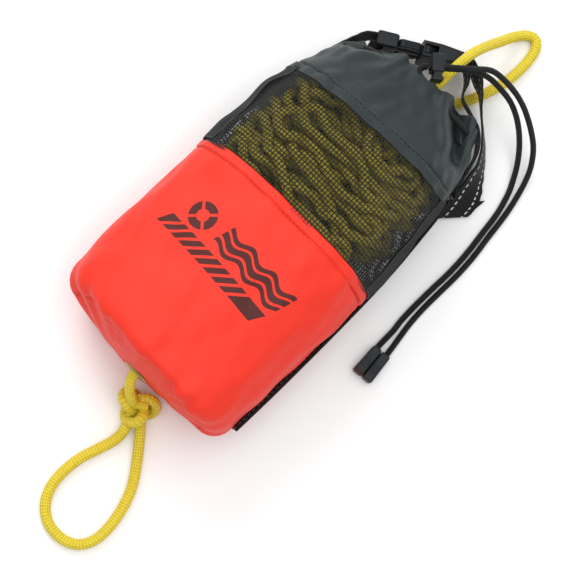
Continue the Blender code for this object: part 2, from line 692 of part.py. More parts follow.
coil = []
TURNS = 3
for k in range(TURNS * 10 + 1):
    angle = math.tau * k / 10
    length = well - foot - SPRING_WIRE - 2 * GAP
    coil.append((
        math.cos(angle) * 0.0019,
        foot + GAP + SPRING_WIRE / 2 + length * k / (TURNS * 10),
        math.sin(angle) * 0.0019,
    ))
spring_curve = bpy.data.curves.new("cord_lock_spring", "CURVE")
spring_curve.dimensions = "3D"
spring_curve.bevel_depth = SPRING_WIRE / 2
spring_curve.bevel_resolution = 1
spring_curve.use_fill_caps = True
line = spring_curve.splines.new("POLY")
line.points.add(len(coil) - 1)
for spot, place in zip(line.points, coil):
    spot.co = (*place, 1.0)
spring_curve.materials.append(SPRING_STEEL)
spring = bpy.data.objects.new("cord_lock_spring", spring_curve)
spring.matrix_world = LOCK_FRAME
parts.objects.link(spring)

# ---------------------------------------------------------------- side-release buckle
# it stands on its edge behind the mouth: x along it, y through it, z across the webbing
BUCKLE_TURN = math.radians(32)
BUCKLE = AT_MOUTH + Vector((-0.0136, 0.0184, BUCKLE_WIDTH / 2 + 0.0030))
BUCKLE_FRAME = Matrix.Translation(BUCKLE) @ Matrix.Rotation(BUCKLE_TURN, 4, "Z")
half_w = BUCKLE_WIDTH / 2
half_t = BUCKLE_THICKNESS / 2
SLOT_W = WEBBING / 2 + 0.0007
CAVITY_W = half_w - 0.0034
ARM_T = 0.0023
SOCKET_START, SOCKET_END = 0.0003, 0.0270
PLUG_START, PLUG_END = -0.0280, -0.0145
SLOT_LENGTH = 0.0032


def webbing_bar(piece, end, way):
    """Open the slot that webbing goes through, and thin the bar that it turns round."""
    slot = sorted((end - way * BUCKLE_BAR, end - way * (BUCKLE_BAR + SLOT_LENGTH)))
    cut_box(piece, (slot[0], -0.02, -SLOT_W), (slot[1], 0.02, SLOT_W), BUCKLE_FRAME)
    clear = sorted((end + way * 0.01, end - way * (BUCKLE_BAR + SLOT_LENGTH)))
    for side in (-1, 1):
        faces = sorted((side * BUCKLE_BAR_THICKNESS / 2, side * 0.02))
        cut_box(
            piece, (clear[0], faces[0], -SLOT_W), (clear[1], faces[1], SLOT_W), BUCKLE_FRAME
        )


socket = block(
    "buckle_socket", (SOCKET_START, -half_t, -half_w), (SOCKET_END, half_t, half_w),
    BLACK_PLASTIC, BUCKLE_FRAME, rounding=0.0016,
)
cut_box(
    socket, (-0.01, -ARM_T - 0.0006, -CAVITY_W), (0.0195, ARM_T + 0.0006, CAVITY_W), BUCKLE_FRAME
)
for side in (-1, 1):
    walls = sorted((side * (CAVITY_W - 0.001), side * 0.02))
    cut_box(
        socket, (0.0018, -ARM_T - 0.0006, walls[0]), (0.0100, ARM_T + 0.0006, walls[1]),
        BUCKLE_FRAME,
    )
webbing_bar(socket, SOCKET_END, 1)

plug = block(
    "buckle_plug", (PLUG_START, -half_t + 0.0006, -half_w), (PLUG_END, half_t - 0.0006, half_w),
    BLACK_PLASTIC, BUCKLE_FRAME, rounding=0.0016,
)
tongue = block(
    "plug_tongue", (PLUG_END - 0.001, -ARM_T, -0.0028), (0.0170, ARM_T, 0.0028),
    frame=BUCKLE_FRAME, cutter=True,
)
combine(plug, tongue, "UNION")
webbing_bar(plug, PLUG_START, -1)

ARM_ROOT = PLUG_END + GAP
ARM_AT = 0.0080              # the arm bends at its root, this far from the middle
arm_outline = [
    (ARM_ROOT, 0.0064), (ARM_ROOT, 0.0096), (-0.0132, 0.0120), (-0.0120, 0.0126),
    (-0.0016, 0.0126), (-0.0004, 0.0094), (0.0021, 0.0094), (0.0021, 0.0121),
    (0.0042, 0.0123), (0.0094, 0.0088), (0.0094, 0.0070), (0.0000, 0.0068),
]


def latch_arm(name, side):
    """One springy side arm: an outline in x and z, extruded through the buckle."""
    curve = bpy.data.curves.new(name, "CURVE")
    curve.dimensions = "2D"
    curve.fill_mode = "BOTH"
    curve.extrude = ARM_T
    spline = curve.splines.new("POLY")
    spline.use_cyclic_u = True
    spline.points.add(len(arm_outline) - 1)
    for spot, (x, z) in zip(spline.points, arm_outline):
        spot.co = (x - ARM_ROOT, z - ARM_AT, 0.0, 1.0)
    curve.materials.append(BLACK_PLASTIC)
    piece = bpy.data.objects.new(name, curve)
    upright = Matrix.Rotation(math.pi / 2 * side, 4, "X")
    piece.matrix_world = BUCKLE_FRAME @ Matrix.Translation((ARM_ROOT, 0, side * ARM_AT)) @ upright
    parts.objects.link(piece)
    return piece


latch_arm("buckle_arm_upper", 1)
latch_arm("buckle_arm_lower", -1)


# ---------------------------------------------------------------- webbing
def ribbon(name, route, material=BLACK_WEBBING, width=WEBBING, step=0.0035):
    """Flat webbing: route gives its middle line and the direction of its width."""
    middles, ways = [], []
    line = [Vector(p) for p, _ in route]
    turns = [Vector(w).normalized() for _, w in route]
    spans = [0.0]
    for a, b in zip(line, line[1:]):
        spans.append(spans[-1] + (b - a).length)
    path = smooth_path(line, 0.0005)
    run = 0.0
    kept = None
    for i, spot in enumerate(path):
        run += (spot - path[i - 1]).length if i else 0.0
        share = run / (0.0005 * (len(path) - 1)) * spans[-1]
        k = max(j for j in range(len(spans)) if spans[j] <= share + 1e-9)
        k = min(k, len(spans) - 2)
        t = min((share - spans[k]) / (spans[k + 1] - spans[k]), 1.0)
        way = turns[k].lerp(turns[k + 1], t * t * (3 - 2 * t)).normalized()
        bend = 0.0
        if 0 < i < len(path) - 1:
            before, after = path[i] - path[i - 1], path[i + 1] - path[i]
            bend = before.angle(after, 0.0)
        need = step if bend < 0.02 else 0.001
        if kept is None or (spot - middles[-1]).length >= need or i == len(path) - 1:
            middles.append(spot)
            ways.append(way)
            kept = i
    shape = bmesh.new()
    bmesh.ops.create_grid(shape, x_segments=len(middles) - 1, y_segments=2, size=1.0)
    columns = sorted({round(v.co.x, 6) for v in shape.verts})
    for v in shape.verts:
        i = columns.index(round(v.co.x, 6))
        v.co = middles[i] + ways[i] * (v.co.y * width / 2)
    piece = add_mesh(name, shape, material)
    thicken(piece, WEBBING_THICKNESS, offset=0.0)
    return piece


# sewn flat up the bag's right side, from the base to the collar
def side_spot(y, height):
    """A point on the bag's right side at a height, with the direction up along the side."""
    ring = section(y)
    rising = sorted(
        (p for p in ring if p.x > blend_along(y, STATIONS, 2) and p.z > 0.001), key=lambda p: p.z
    )
    for a, b in zip(rising, rising[1:]):
        if a.z <= height <= b.z:
            t = (height - a.z) / (b.z - a.z)
            up = (b - a).normalized()
            out = Vector((up.z, 0, -up.x)).normalized()
            return a.lerp(b, t), up, out
    return rising[-1], Vector((0, 0, 1)), Vector((1, 0, 0))


SIDE_HEIGHT = 0.027
side_route = []
for y in steps_between(BASE_Y + BASE_ROUND_SIDE, SEAM_Y + 0.006, 12):
    spot, up, out = side_spot(y, SIDE_HEIGHT)
    side_route.append((spot + out * (WEBBING_THICKNESS / 2 + 0.0005), up))
ribbon("side_webbing", side_route)

# through the socket's bar: in along the inner layer, round the bar, out along the tail
BAR_TURN = BUCKLE_BAR_THICKNESS / 2 + GAP + WEBBING_THICKNESS / 2 + 0.0002


def round_bar(bar_x, way):
    """The half turn of webbing round a buckle's bar, as route points."""
    turn = []
    for k in range(7):
        angle = math.pi * k / 6
        spot = Vector((bar_x - way * math.sin(angle) * (BAR_TURN + 0.0006), -math.cos(angle) * BAR_TURN, 0))
        turn.append((BUCKLE_FRAME @ spot, (0, 0, 1)))
    return turn


def beside_buckle(x, y):
    return BUCKLE_FRAME @ Vector((x, y, 0))



def at_mouth(x, y, z):
    return AT_MOUTH + Vector((x, y, z))


side_top, side_up, side_out = side_spot(SEAM_Y + 0.0095, SIDE_HEIGHT - 0.003)
inner_layer = [
    (side_top + side_out * 0.0030, side_up),
    (at_mouth(SIDE - 0.0060, -0.0270, 0.0215), (0.0, 0.0, 1.0)),
    (at_mouth(SIDE - 0.0085, -0.0140, 0.0195), (-0.02, -0.02, 1.0)),
    (at_mouth(SIDE - 0.0120, -0.0015, 0.0185), (-0.05, -0.05, 1.0)),
    (at_mouth(0.0455, 0.0078, 0.0195), (-0.03, -0.10, 1.0)),
    (at_mouth(0.0350, 0.0122, 0.0210), (-0.05, -0.20, 1.0)),
    (at_mouth(0.0250, 0.0155, 0.0215), (-0.05, -0.20, 1.0)),
    (at_mouth(0.0202, 0.0248, 0.0190), (0.0, -0.08, 1.0)),
]
outer_layer = [
    (at_mouth(0.0240, 0.0308, 0.0190), (0.0, 0.05, 1.0)),
    (at_mouth(0.0312, 0.0256, 0.0205), (-0.08, -0.08, 1.0)),
    (at_mouth(0.0385, 0.0182, 0.0210), (-0.12, -0.15, 1.0)),
    (at_mouth(0.0462, 0.0115, 0.0205), (-0.16, -0.18, 1.0)),
    (at_mouth(SIDE - 0.0115, 0.0040, 0.0190), (-0.20, -0.20, 0.97)),
    (at_mouth(SIDE - 0.0045, -0.0050, 0.0168), (-0.28, -0.24, 0.93)),
    (at_mouth(SIDE - 0.0010, -0.0130, 0.0142), (-0.45, -0.42, 0.80)),
    (at_mouth(SIDE + 0.0020, -0.0200, 0.0106), (-0.60, -0.58, 0.55)),
    (at_mouth(SIDE + 0.0044, -0.0270, 0.0070), (-0.66, -0.68, 0.30)),
    (at_mouth(SIDE + 0.0052, -0.0345, 0.0042), (-0.66, -0.75, 0.06)),
]
fold = [
    (at_mouth(SIDE + 0.0049, -0.0361, 0.0030), (-0.66, -0.75, 0.0)),
    (at_mouth(SIDE + 0.0049, -0.0347, 0.0014), (-0.66, -0.75, 0.0)),
    (at_mouth(SIDE + 0.0053, -0.0280, 0.0010), (-0.66, -0.75, 0.0)),
    (at_mouth(SIDE + 0.0059, -0.0215, 0.0010), (-0.66, -0.75, 0.0)),
]
bar_x = SOCKET_END - BUCKLE_BAR / 2
ribbon(
    "strap_long",
    inner_layer + [(beside_buckle(bar_x + 0.004, -BAR_TURN), (0, 0, 1))]
    + round_bar(bar_x, 1)
    + [(beside_buckle(bar_x + 0.004, BAR_TURN), (0, 0, 1))] + outer_layer + fold,
)

# from the plug's bar, back along the left side of the collar to its stitching
bar_x = PLUG_START + BUCKLE_BAR / 2
beside_collar = [
    (at_mouth(-0.0432, 0.0014, 0.0158), (-0.10, 0.0, 1.0)),
    (at_mouth(-0.0436, -0.0026, 0.0156), (-0.25, 0.0, 0.97)),
    (at_mouth(-0.0443, -0.0076, 0.0154), (-0.38, 0.0, 0.92)),
    (at_mouth(-0.0457, -0.0136, 0.0152), (-0.46, 0.0, 0.89)),
    (at_mouth(-0.0472, -0.0200, 0.0150), (-0.50, 0.0, 0.87)),
]
ribbon(
    "strap_short",
    [(beside_buckle(bar_x - 0.0040, -BAR_TURN), (0, 0, 1))] + round_bar(bar_x, -1)
    + [(beside_buckle(bar_x - 0.0040, BAR_TURN), (0, 0, 1))] + beside_collar,
)
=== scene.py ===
# %% [markdown]
# # A throw rope bag
# A rescue throw bag is a soft sack stuffed with floating rope. This lesson dresses the
# bag's solid model in real cloth, net, rope and webbing. Every piece is made in metres in
# the model's own frame: +Z is up out of the bag's front, +Y runs from its base to its mouth.

# %% Load the solid model
import json
import math

import bmesh
import bpy
import numpy as np
from mathutils import Matrix, Vector

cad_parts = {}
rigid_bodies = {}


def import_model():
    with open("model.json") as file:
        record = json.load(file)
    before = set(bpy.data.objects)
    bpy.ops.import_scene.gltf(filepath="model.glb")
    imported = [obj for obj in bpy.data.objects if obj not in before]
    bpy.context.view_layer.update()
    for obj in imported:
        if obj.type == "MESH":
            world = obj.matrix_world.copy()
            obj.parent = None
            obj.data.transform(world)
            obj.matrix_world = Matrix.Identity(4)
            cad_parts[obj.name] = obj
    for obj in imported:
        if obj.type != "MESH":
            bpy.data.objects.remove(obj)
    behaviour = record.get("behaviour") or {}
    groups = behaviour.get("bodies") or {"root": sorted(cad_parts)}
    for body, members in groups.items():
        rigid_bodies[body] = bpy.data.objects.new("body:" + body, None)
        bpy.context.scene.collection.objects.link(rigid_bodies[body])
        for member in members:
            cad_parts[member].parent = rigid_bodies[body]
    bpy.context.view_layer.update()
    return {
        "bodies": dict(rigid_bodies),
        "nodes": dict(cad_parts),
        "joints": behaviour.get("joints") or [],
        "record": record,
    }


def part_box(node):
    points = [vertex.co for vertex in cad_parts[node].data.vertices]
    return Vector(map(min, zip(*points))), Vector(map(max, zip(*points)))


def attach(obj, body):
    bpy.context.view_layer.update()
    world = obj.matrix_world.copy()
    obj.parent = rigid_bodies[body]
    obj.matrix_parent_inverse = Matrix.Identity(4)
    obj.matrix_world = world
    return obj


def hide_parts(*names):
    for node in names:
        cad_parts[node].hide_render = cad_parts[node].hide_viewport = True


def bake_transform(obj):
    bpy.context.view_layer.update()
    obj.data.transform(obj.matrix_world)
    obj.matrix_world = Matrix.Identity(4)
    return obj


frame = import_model()

# %% [markdown]
# ## Camera
# The bag lies on its back and is seen from nearly straight above, from a little on the base's
# side, with the mouth towards the picture's upper right corner. A long lens from 1.2 m keeps
# the two ends the same size. The camera's axes are built from the bag's own axes, so the
# bag's middle line always runs at 45 degrees across the picture.

# %% Camera
VIEW_DISTANCE = 1.2
VIEW_WIDTH = 0.334
VIEW_TILT = math.radians(9.0)
VIEW_TARGET = Vector((0.0312, -0.0008, 0.040))

look = Vector((0, math.sin(VIEW_TILT), -math.cos(VIEW_TILT)))
bag_right = Vector((1, 0, 0))
bag_up = bag_right.cross(look).normalized()
if bag_up.y < 0:
    bag_up.negate()
right = (bag_right + bag_up).normalized()
up = (bag_up - bag_right).normalized()
camera_data = bpy.data.cameras.new("camera")
camera_data.sensor_width = 36.0
camera_data.lens = 36.0 * VIEW_DISTANCE / VIEW_WIDTH
camera = bpy.data.objects.new("camera", camera_data)
turn = Matrix((right, up, -look)).transposed().to_4x4()
camera.matrix_world = Matrix.Translation(VIEW_TARGET - look * VIEW_DISTANCE) @ turn
bpy.context.scene.collection.objects.link(camera)
bpy.context.scene.camera = camera
print("lens", round(camera_data.lens, 1), "mm")

# %% [markdown]
# ## Floor and light
# A product table: a pale floor, a wide soft light overhead and a smaller one from the upper
# left, so that folds and rope strands get a soft edge of shade.

# %% Floor and light
shape = bmesh.new()
bmesh.ops.create_grid(shape, x_segments=1, y_segments=1, size=3.0)
floor_mesh = bpy.data.meshes.new("floor")
shape.to_mesh(floor_mesh)
shape.free()
floor = bpy.data.objects.new("floor", floor_mesh)
bpy.context.scene.collection.objects.link(floor)
floor_finish = bpy.data.materials.new("floor_paper")
floor_finish.use_nodes = True
floor_shader = floor_finish.node_tree.nodes["Principled BSDF"]
floor_shader.inputs["Base Color"].default_value = (0.93, 0.93, 0.93, 1)
floor_shader.inputs["Roughness"].default_value = 0.9
floor_mesh.materials.append(floor_finish)


def soft_light(name, place, size, power):
    data = bpy.data.lights.new(name, "AREA")
    data.shape = "SQUARE"
    data.size = size
    data.energy = power
    lamp = bpy.data.objects.new(name, data)
    aim = Vector(place) - Vector((0.01, 0, 0.03))
    lamp.matrix_world = Matrix.Translation(place) @ aim.to_track_quat("Z", "Y").to_matrix().to_4x4()
    bpy.context.scene.collection.objects.link(lamp)


soft_light("light_over", (0.1, 0.1, 1.7), 1.6, 17.0)
soft_light("light_left", (-1.0, 0.55, 1.0), 0.7, 9.0)
world = bpy.data.worlds.new("studio")
world.use_nodes = True
world.node_tree.nodes["Background"].inputs["Color"].default_value = (1, 1, 1, 1)
world.node_tree.nodes["Background"].inputs["Strength"].default_value = 0.62
bpy.context.scene.world = world
bpy.context.scene.view_settings.view_transform = "Standard"

# %% [markdown]
# ## Sizes
# These are the bag's own sizes, the same ones that its solid model was drawn with.

# %% Sizes
BODY_WIDTH, BODY_DEPTH = 0.132, 0.085
BASE_Y, HEM_Y, SEAM_Y, MOUTH_Y = -0.0920, 0.0270, 0.0955, 0.1430
BASE_ROUND_SIDE, BASE_ROUND_FRONT, BASE_BULGE = 0.014, 0.006, 0.004
SEAM_WIDTH, SEAM_TOP = 0.1200, 0.076
MOUTH_WIDTH, MOUTH_LOW, MOUTH_TOP, MOUTH_X = 0.0840, 0.007, 0.051, 0.0035
PRESSED, SQUARENESS, WALL = 0.005, 2.4, 0.0008
HEM_WIDTH, HEM_THICKNESS, HEM_SLOT = 0.012, 0.0066, 0.018
ROPE, DRAWCORD, WEBBING, WEBBING_THICKNESS = 0.00635, 0.0036, 0.020, 0.0014
SIDE = BODY_WIDTH / 2
GAP = 0.0003

# y, half width, middle in x, lowest z, highest z, skew
STATIONS = np.array([
    (BASE_Y, BODY_WIDTH / 2 - 0.0010, 0.0005, -PRESSED, BODY_DEPTH - 0.0010, -0.045),
    (BASE_Y + 0.050, BODY_WIDTH / 2, 0.0010, -PRESSED, BODY_DEPTH, -0.020),
    (HEM_Y, BODY_WIDTH / 2 - 0.0005, 0.0015, -PRESSED, BODY_DEPTH, 0.010),
    ((HEM_Y + SEAM_Y) / 2, (BODY_WIDTH + SEAM_WIDTH) / 4 + 0.0010, 0.0010,
     -PRESSED * 0.8, (BODY_DEPTH + SEAM_TOP) / 2 + 0.0015, 0.020),
    (SEAM_Y, SEAM_WIDTH / 2, 0.0010, -PRESSED * 0.3, SEAM_TOP, 0.055),
    (SEAM_Y + (MOUTH_Y - SEAM_Y) * 0.55, (SEAM_WIDTH * 0.55 + MOUTH_WIDTH * 0.45) / 2 + 0.0010,
     MOUTH_X * 0.6, MOUTH_LOW * 0.45, SEAM_TOP * 0.45 + MOUTH_TOP * 0.55, 0.075),
    (MOUTH_Y, MOUTH_WIDTH / 2, MOUTH_X, MOUTH_LOW, MOUTH_TOP, 0.090),
])

# %% [markdown]
# ## The bag's outline
# Each cloth part follows one outline: a soft rounded box, pressed flat where the bag rests on
# its back. Cloth is cut flat, so a point of it is found by its share of the way round,
# measured along the cloth and not by angle. Stitches, print and weave then keep their size.

# %% The bag's outline
before = np.vstack([STATIONS[:1], STATIONS[:-1]])
after = np.vstack([STATIONS[1:], STATIONS[-1:]])
SLOPES = (after - before) / (after - before)[:, :1]


def along(y, column):
    """A value of the stations at y, smooth from each station to the next."""
    ys, values, slopes = STATIONS[:, 0], STATIONS[:, column], SLOPES[:, column]
    y = float(np.clip(y, ys[0], ys[-1]))
    i = min(int(np.searchsorted(ys, y, side="right")) - 1, len(ys) - 2)
    span = ys[i + 1] - ys[i]
    t = (y - ys[i]) / span
    return (
        values[i] * (1 + 2 * t) * (1 - t) ** 2 + slopes[i] * span * t * (1 - t) ** 2
        + values[i + 1] * t * t * (3 - 2 * t) + slopes[i + 1] * span * t * t * (t - 1)
    )


def corner_inset(y, rounding):
    rise = max(y - BASE_Y, 0.0)
    if rise >= rounding:
        return 0.0
    return rounding - math.sqrt(rounding**2 - (rounding - rise) ** 2)


def round_the_bag(y, shares, inset=0.0):
    """Points at shares of the way round the bag at y, from the middle of its back."""
    angle = np.linspace(-math.pi / 2, 1.5 * math.pi, 721)
    half = along(y, 1) - corner_inset(y, BASE_ROUND_SIDE) - inset
    round_z = corner_inset(y, BASE_ROUND_FRONT)
    low, high = along(y, 3) + round_z + inset, along(y, 4) - round_z - inset
    power = 2 / SQUARENESS
    x = half * np.sign(np.cos(angle)) * np.abs(np.cos(angle)) ** power
    z = (low + high) / 2 + (high - low) / 2 * np.sign(np.sin(angle)) * np.abs(np.sin(angle)) ** power
    z = np.maximum(z, inset + round_z * 0.5)
    way = np.concatenate([[0], np.cumsum(np.hypot(np.diff(x), np.diff(z)))])
    want = np.asarray(shares) % 1.0001 * way[-1]
    px, pz = np.interp(want, way, x), np.interp(want, way, z)
    return np.stack([along(y, 2) + px, y + along(y, 5) * px, pz], axis=-1), way[-1]


def cloth_points(ys, shares, inset=0.0):
    return np.array([round_the_bag(y, shares, inset)[0] for y in ys])


def outward(points, closed=True):
    """The direction out of the cloth at each point of a grid of rows and columns."""
    if closed:
        ring = np.concatenate([points[:, -2:-1], points, points[:, 1:2]], axis=1)
        across = ring[:, 2:] - ring[:, :-2]
    else:
        across = np.gradient(points, axis=1)
    down = np.gradient(points, axis=0)
    out = np.cross(across, down)
    out /= np.maximum(np.linalg.norm(out, axis=2, keepdims=True), 1e-12)
    centre = points.mean(axis=1, keepdims=True)
    if ((points - centre) * out).sum() < 0:
        out = -out
    return out


def waves(a, b, size, seed, count=14):
    """Smooth uneven waves over two directions, about one high: many sines laid together."""
    rng = np.random.default_rng(seed)
    total = 0.0
    for _ in range(count):
        turn, phase = rng.uniform(0, math.tau, 2)
        scale = math.tau / (size * rng.uniform(0.6, 1.7))
        total = total + np.sin(scale * (a * math.cos(turn) + b * math.sin(turn)) + phase)
    return total / math.sqrt(count / 2)


girth = round_the_bag(0.0, [0.0])[1]
print("girth", round(girth * 1000), "mm")

# %% [markdown]
# ## Turning a grid of points into a mesh
# A grid comes from bmesh's own operator, its points are moved onto the cloth, and its two
# edges are merged where the cloth goes right round. Its UV map is in metres along the cloth.

# %% Mesh helpers
def add_piece(name, mesh, finish=None, body="bag", smooth=True):
    piece = bpy.data.objects.new(name, mesh)
    bpy.context.scene.collection.objects.link(piece)
    if finish is not None:
        mesh.materials.append(finish)
    if smooth and isinstance(mesh, bpy.types.Mesh):
        mesh.shade_smooth()
    if body:
        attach(piece, body)
    return piece


def grid_mesh(name, points, measures=None, closed=False):
    """A mesh with a grid's points. measures holds each point's two distances for the UV map."""
    rows, cols = points.shape[:2]
    shape = bmesh.new()
    shape.loops.layers.uv.new("UVMap")
    bmesh.ops.create_grid(shape, x_segments=cols - 1, y_segments=rows - 1, size=1.0, calc_uvs=True)
    mesh = bpy.data.meshes.new(name)
    shape.to_mesh(mesh)
    shape.free()
    flat = np.empty(len(mesh.vertices) * 3)
    mesh.vertices.foreach_get("co", flat)
    spots = flat.reshape(-1, 3)
    i = np.rint((spots[:, 0] + 1) / 2 * (cols - 1)).astype(int)
    j = np.rint((spots[:, 1] + 1) / 2 * (rows - 1)).astype(int)
    mesh.vertices.foreach_set("co", points[j, i].ravel())
    if measures is not None:
        corner = np.empty(len(mesh.loops), dtype=int)
        mesh.loops.foreach_get("vertex_index", corner)
        mesh.uv_layers["UVMap"].data.foreach_set("uv", measures[j[corner], i[corner]].ravel())
    mesh.update()
    if closed:
        shape = bmesh.new()
        shape.from_mesh(mesh)
        bmesh.ops.remove_doubles(shape, verts=shape.verts, dist=1e-7)
        shape.to_mesh(mesh)
        shape.free()
    return mesh


def point_out(mesh):
    """Turn the faces outwards from the bag's middle line."""
    shape = bmesh.new()
    shape.from_mesh(mesh)
    total = 0.0
    for face in shape.faces:
        centre = face.calc_center_median()
        away = centre - Vector((along(centre.y, 2), centre.y, (along(centre.y, 3) + along(centre.y, 4)) / 2))
        total += face.normal.dot(away)
    if total < 0:
        bmesh.ops.reverse_faces(shape, faces=shape.faces)
    shape.to_mesh(mesh)
    shape.free()


def thicken(piece, thickness, offset=-1.0):
    wall = piece.modifiers.new("wall", "SOLIDIFY")
    wall.thickness = thickness
    wall.offset = offset


# %% [markdown]
# ## Finishes
# Each finish is a Principled shader whose colour, roughness and bump come from small node
# chains. Woven cloth reads the UV map in metres, so threads follow the cloth round the bag.

# %% Finish helpers
def new_finish(name, colour, roughness, metallic=0.0, sheen=0.0):
    finish = bpy.data.materials.new(name)
    finish.use_nodes = True
    shader = finish.node_tree.nodes["Principled BSDF"]
    shader.inputs["Base Color"].default_value = (*colour, 1)
    shader.inputs["Roughness"].default_value = roughness
    shader.inputs["Metallic"].default_value = metallic
    shader.inputs["Sheen Weight"].default_value = sheen
    shader.inputs["Specular IOR Level"].default_value = 0.5 if metallic or roughness < 0.45 else 0.3
    return finish


class Nodes:
    """Short words for the nodes of one material, or of one shared group."""

    def __init__(self, finish):
        self.tree = getattr(finish, "node_tree", finish)
        self.shader = self.tree.nodes.get("Principled BSDF")

    def group(self, shared, **values):
        made = self.node("ShaderNodeGroup", node_tree=shared)
        for key, value in values.items():
            self.put(value, made.inputs[key])
        return made.outputs[0]

    def node(self, kind, **settings):
        made = self.tree.nodes.new(kind)
        for key, value in settings.items():
            setattr(made, key, value)
        return made

    def link(self, source, target):
        self.tree.links.new(source, target)

    def put(self, value, target):
        if isinstance(value, bpy.types.NodeSocket):
            self.link(value, target)
        else:
            target.default_value = value

    def math(self, operation, a, b=0.0, c=None):
        made = self.node("ShaderNodeMath", operation=operation)
        self.put(a, made.inputs[0])
        self.put(b, made.inputs[1])
        if c is not None:
            self.put(c, made.inputs[2])
        return made.outputs[0]

    def uv(self):
        split = self.node("ShaderNodeSeparateXYZ")
        self.link(self.node("ShaderNodeUVMap", uv_map="UVMap").outputs[0], split.inputs[0])
        return split.outputs[0], split.outputs[1]

    def place(self):
        return self.node("ShaderNodeTexCoord").outputs["Object"]

    def noise(self, scale, detail=3.0):
        made = self.node("ShaderNodeTexNoise")
        made.inputs["Scale"].default_value = scale
        made.inputs["Detail"].default_value = detail
        self.link(self.place(), made.inputs["Vector"])
        return made.outputs["Fac"]

    def mix(self, share, a, b):
        made = self.node("ShaderNodeMix", data_type="RGBA")
        self.put(share, made.inputs[0])
        for value, socket in ((a, made.inputs[6]), (b, made.inputs[7])):
            if isinstance(value, bpy.types.NodeSocket):
                self.link(value, socket)
            else:
                socket.default_value = (*value, 1)
        return made.outputs[2]

    def bump(self, height, strength, distance):
        made = self.node("ShaderNodeBump")
        made.inputs["Strength"].default_value = strength
        made.inputs["Distance"].default_value = distance
        self.link(height, made.inputs["Height"])
        self.link(made.outputs[0], self.shader.inputs["Normal"])


def shared_group(name, inputs, output="Height"):
    """An empty node group, its helper, its inputs by name and its one output."""
    tree = bpy.data.node_groups.new(name, "ShaderNodeTree")
    for title in inputs:
        tree.interface.new_socket(name=title, in_out="INPUT", socket_type="NodeSocketFloat")
    tree.interface.new_socket(name=output, in_out="OUTPUT", socket_type="NodeSocketFloat")
    n = Nodes(tree)
    given = n.node("NodeGroupInput").outputs
    return tree, n, given, n.node("NodeGroupOutput").inputs[0]


# over and under threads, one wave across the cloth times one along it, from 0 to 1
WEAVE, n, given, result = shared_group("woven_threads", ("Across", "Along", "Pitch"))
wide, long = (
    n.math("SINE", n.math("DIVIDE", n.math("MULTIPLY", given[side], math.pi), given["Pitch"]))
    for side in ("Across", "Along")
)
n.link(n.math("MULTIPLY_ADD", n.math("MULTIPLY", wide, long), 0.5, 0.5), result)

# two slanting families of strands that cross, from 0 to 1
PLAIT, n, given, result = shared_group("plaited_strands", ("Turns", "Round", "Strands"))
slants = [
    n.math("SINE", n.math("MULTIPLY", n.math("MULTIPLY", n.math(way, given["Turns"], given["Round"]),
                                             given["Strands"]), math.pi))
    for way in ("ADD", "SUBTRACT")
]
n.link(n.math("MULTIPLY_ADD", n.math("MULTIPLY", *slants), 0.5, 0.5), result)


def nylon(name, colour, dark, roughness, pitch, sheen):
    """Plain woven pack cloth with a slightly uneven dye."""
    finish = new_finish(name, colour, roughness, sheen=sheen)
    n = Nodes(finish)
    across, along_it = n.uv()
    weave = n.group(WEAVE, Across=across, Along=along_it, Pitch=pitch)
    cloudy = n.noise(45.0)
    fine = n.noise(1300.0, 2.0)
    tone = n.math("MULTIPLY_ADD", weave, 0.25, n.math("MULTIPLY", fine, 0.5))
    tone = n.math("ADD", tone, n.math("MULTIPLY", cloudy, 0.35))
    n.link(n.mix(n.math("SUBTRACT", tone, 0.05), dark, colour), n.shader.inputs["Base Color"])
    n.bump(n.math("ADD", weave, n.math("MULTIPLY", fine, 0.9)), 0.35, 0.00035)
    return finish


# %% [markdown]
# ## Smooth routes
# A cord's route is a few listed points. A Catmull-Rom curve through them gives the
# even row of points that the cord follows.

# %% Smooth routes
def smooth_path(points, step):
    spots = np.array([tuple(p) for p in points], dtype=float)
    spots = np.vstack([2 * spots[0] - spots[1], spots, 2 * spots[-1] - spots[-2]])
    fine = [spots[1]]
    for k in range(len(spots) - 3):
        p = spots[k : k + 4]
        knots = np.concatenate([[0], np.cumsum(np.sqrt(np.linalg.norm(np.diff(p, axis=0), axis=1) + 1e-9))])
        for t in np.linspace(knots[1], knots[2], 13)[1:]:
            first = [
                p[i] * (knots[i + 1] - t) / (knots[i + 1] - knots[i])
                + p[i + 1] * (t - knots[i]) / (knots[i + 1] - knots[i])
                for i in range(3)
            ]
            second = [
                first[i] * (knots[i + 2] - t) / (knots[i + 2] - knots[i])
                + first[i + 1] * (t - knots[i]) / (knots[i + 2] - knots[i])
                for i in range(2)
            ]
            fine.append(
                second[0] * (knots[2] - t) / (knots[2] - knots[1])
                + second[1] * (t - knots[1]) / (knots[2] - knots[1])
            )
    return evenly(np.array(fine), step)


def evenly(line, step):
    """Points an even step apart along a line."""
    way = np.concatenate([[0], np.cumsum(np.linalg.norm(np.diff(line, axis=0), axis=1))])
    count = max(2, round(way[-1] / step))
    want = np.linspace(0, way[-1], count + 1)
    return np.stack([np.interp(want, way, line[:, k]) for k in range(3)], axis=1)


def length_of(line):
    return float(np.linalg.norm(np.diff(line, axis=0), axis=1).sum())


def cord_curve(name, path, diameter, finish, sides=3, body="bag"):
    curve = bpy.data.curves.new(name, "CURVE")
    curve.dimensions = "3D"
    curve.bevel_depth = diameter / 2
    curve.bevel_resolution = sides
    curve.use_fill_caps = True
    spline = curve.splines.new("POLY")
    spline.points.add(len(path) - 1)
    flat = np.hstack([path, np.ones((len(path), 1))])
    spline.points.foreach_set("co", flat.ravel())
    spline.use_smooth = True
    curve.materials.append(finish)
    piece = bpy.data.objects.new(name, curve)
    bpy.context.scene.collection.objects.link(piece)
    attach(piece, body)
    return piece


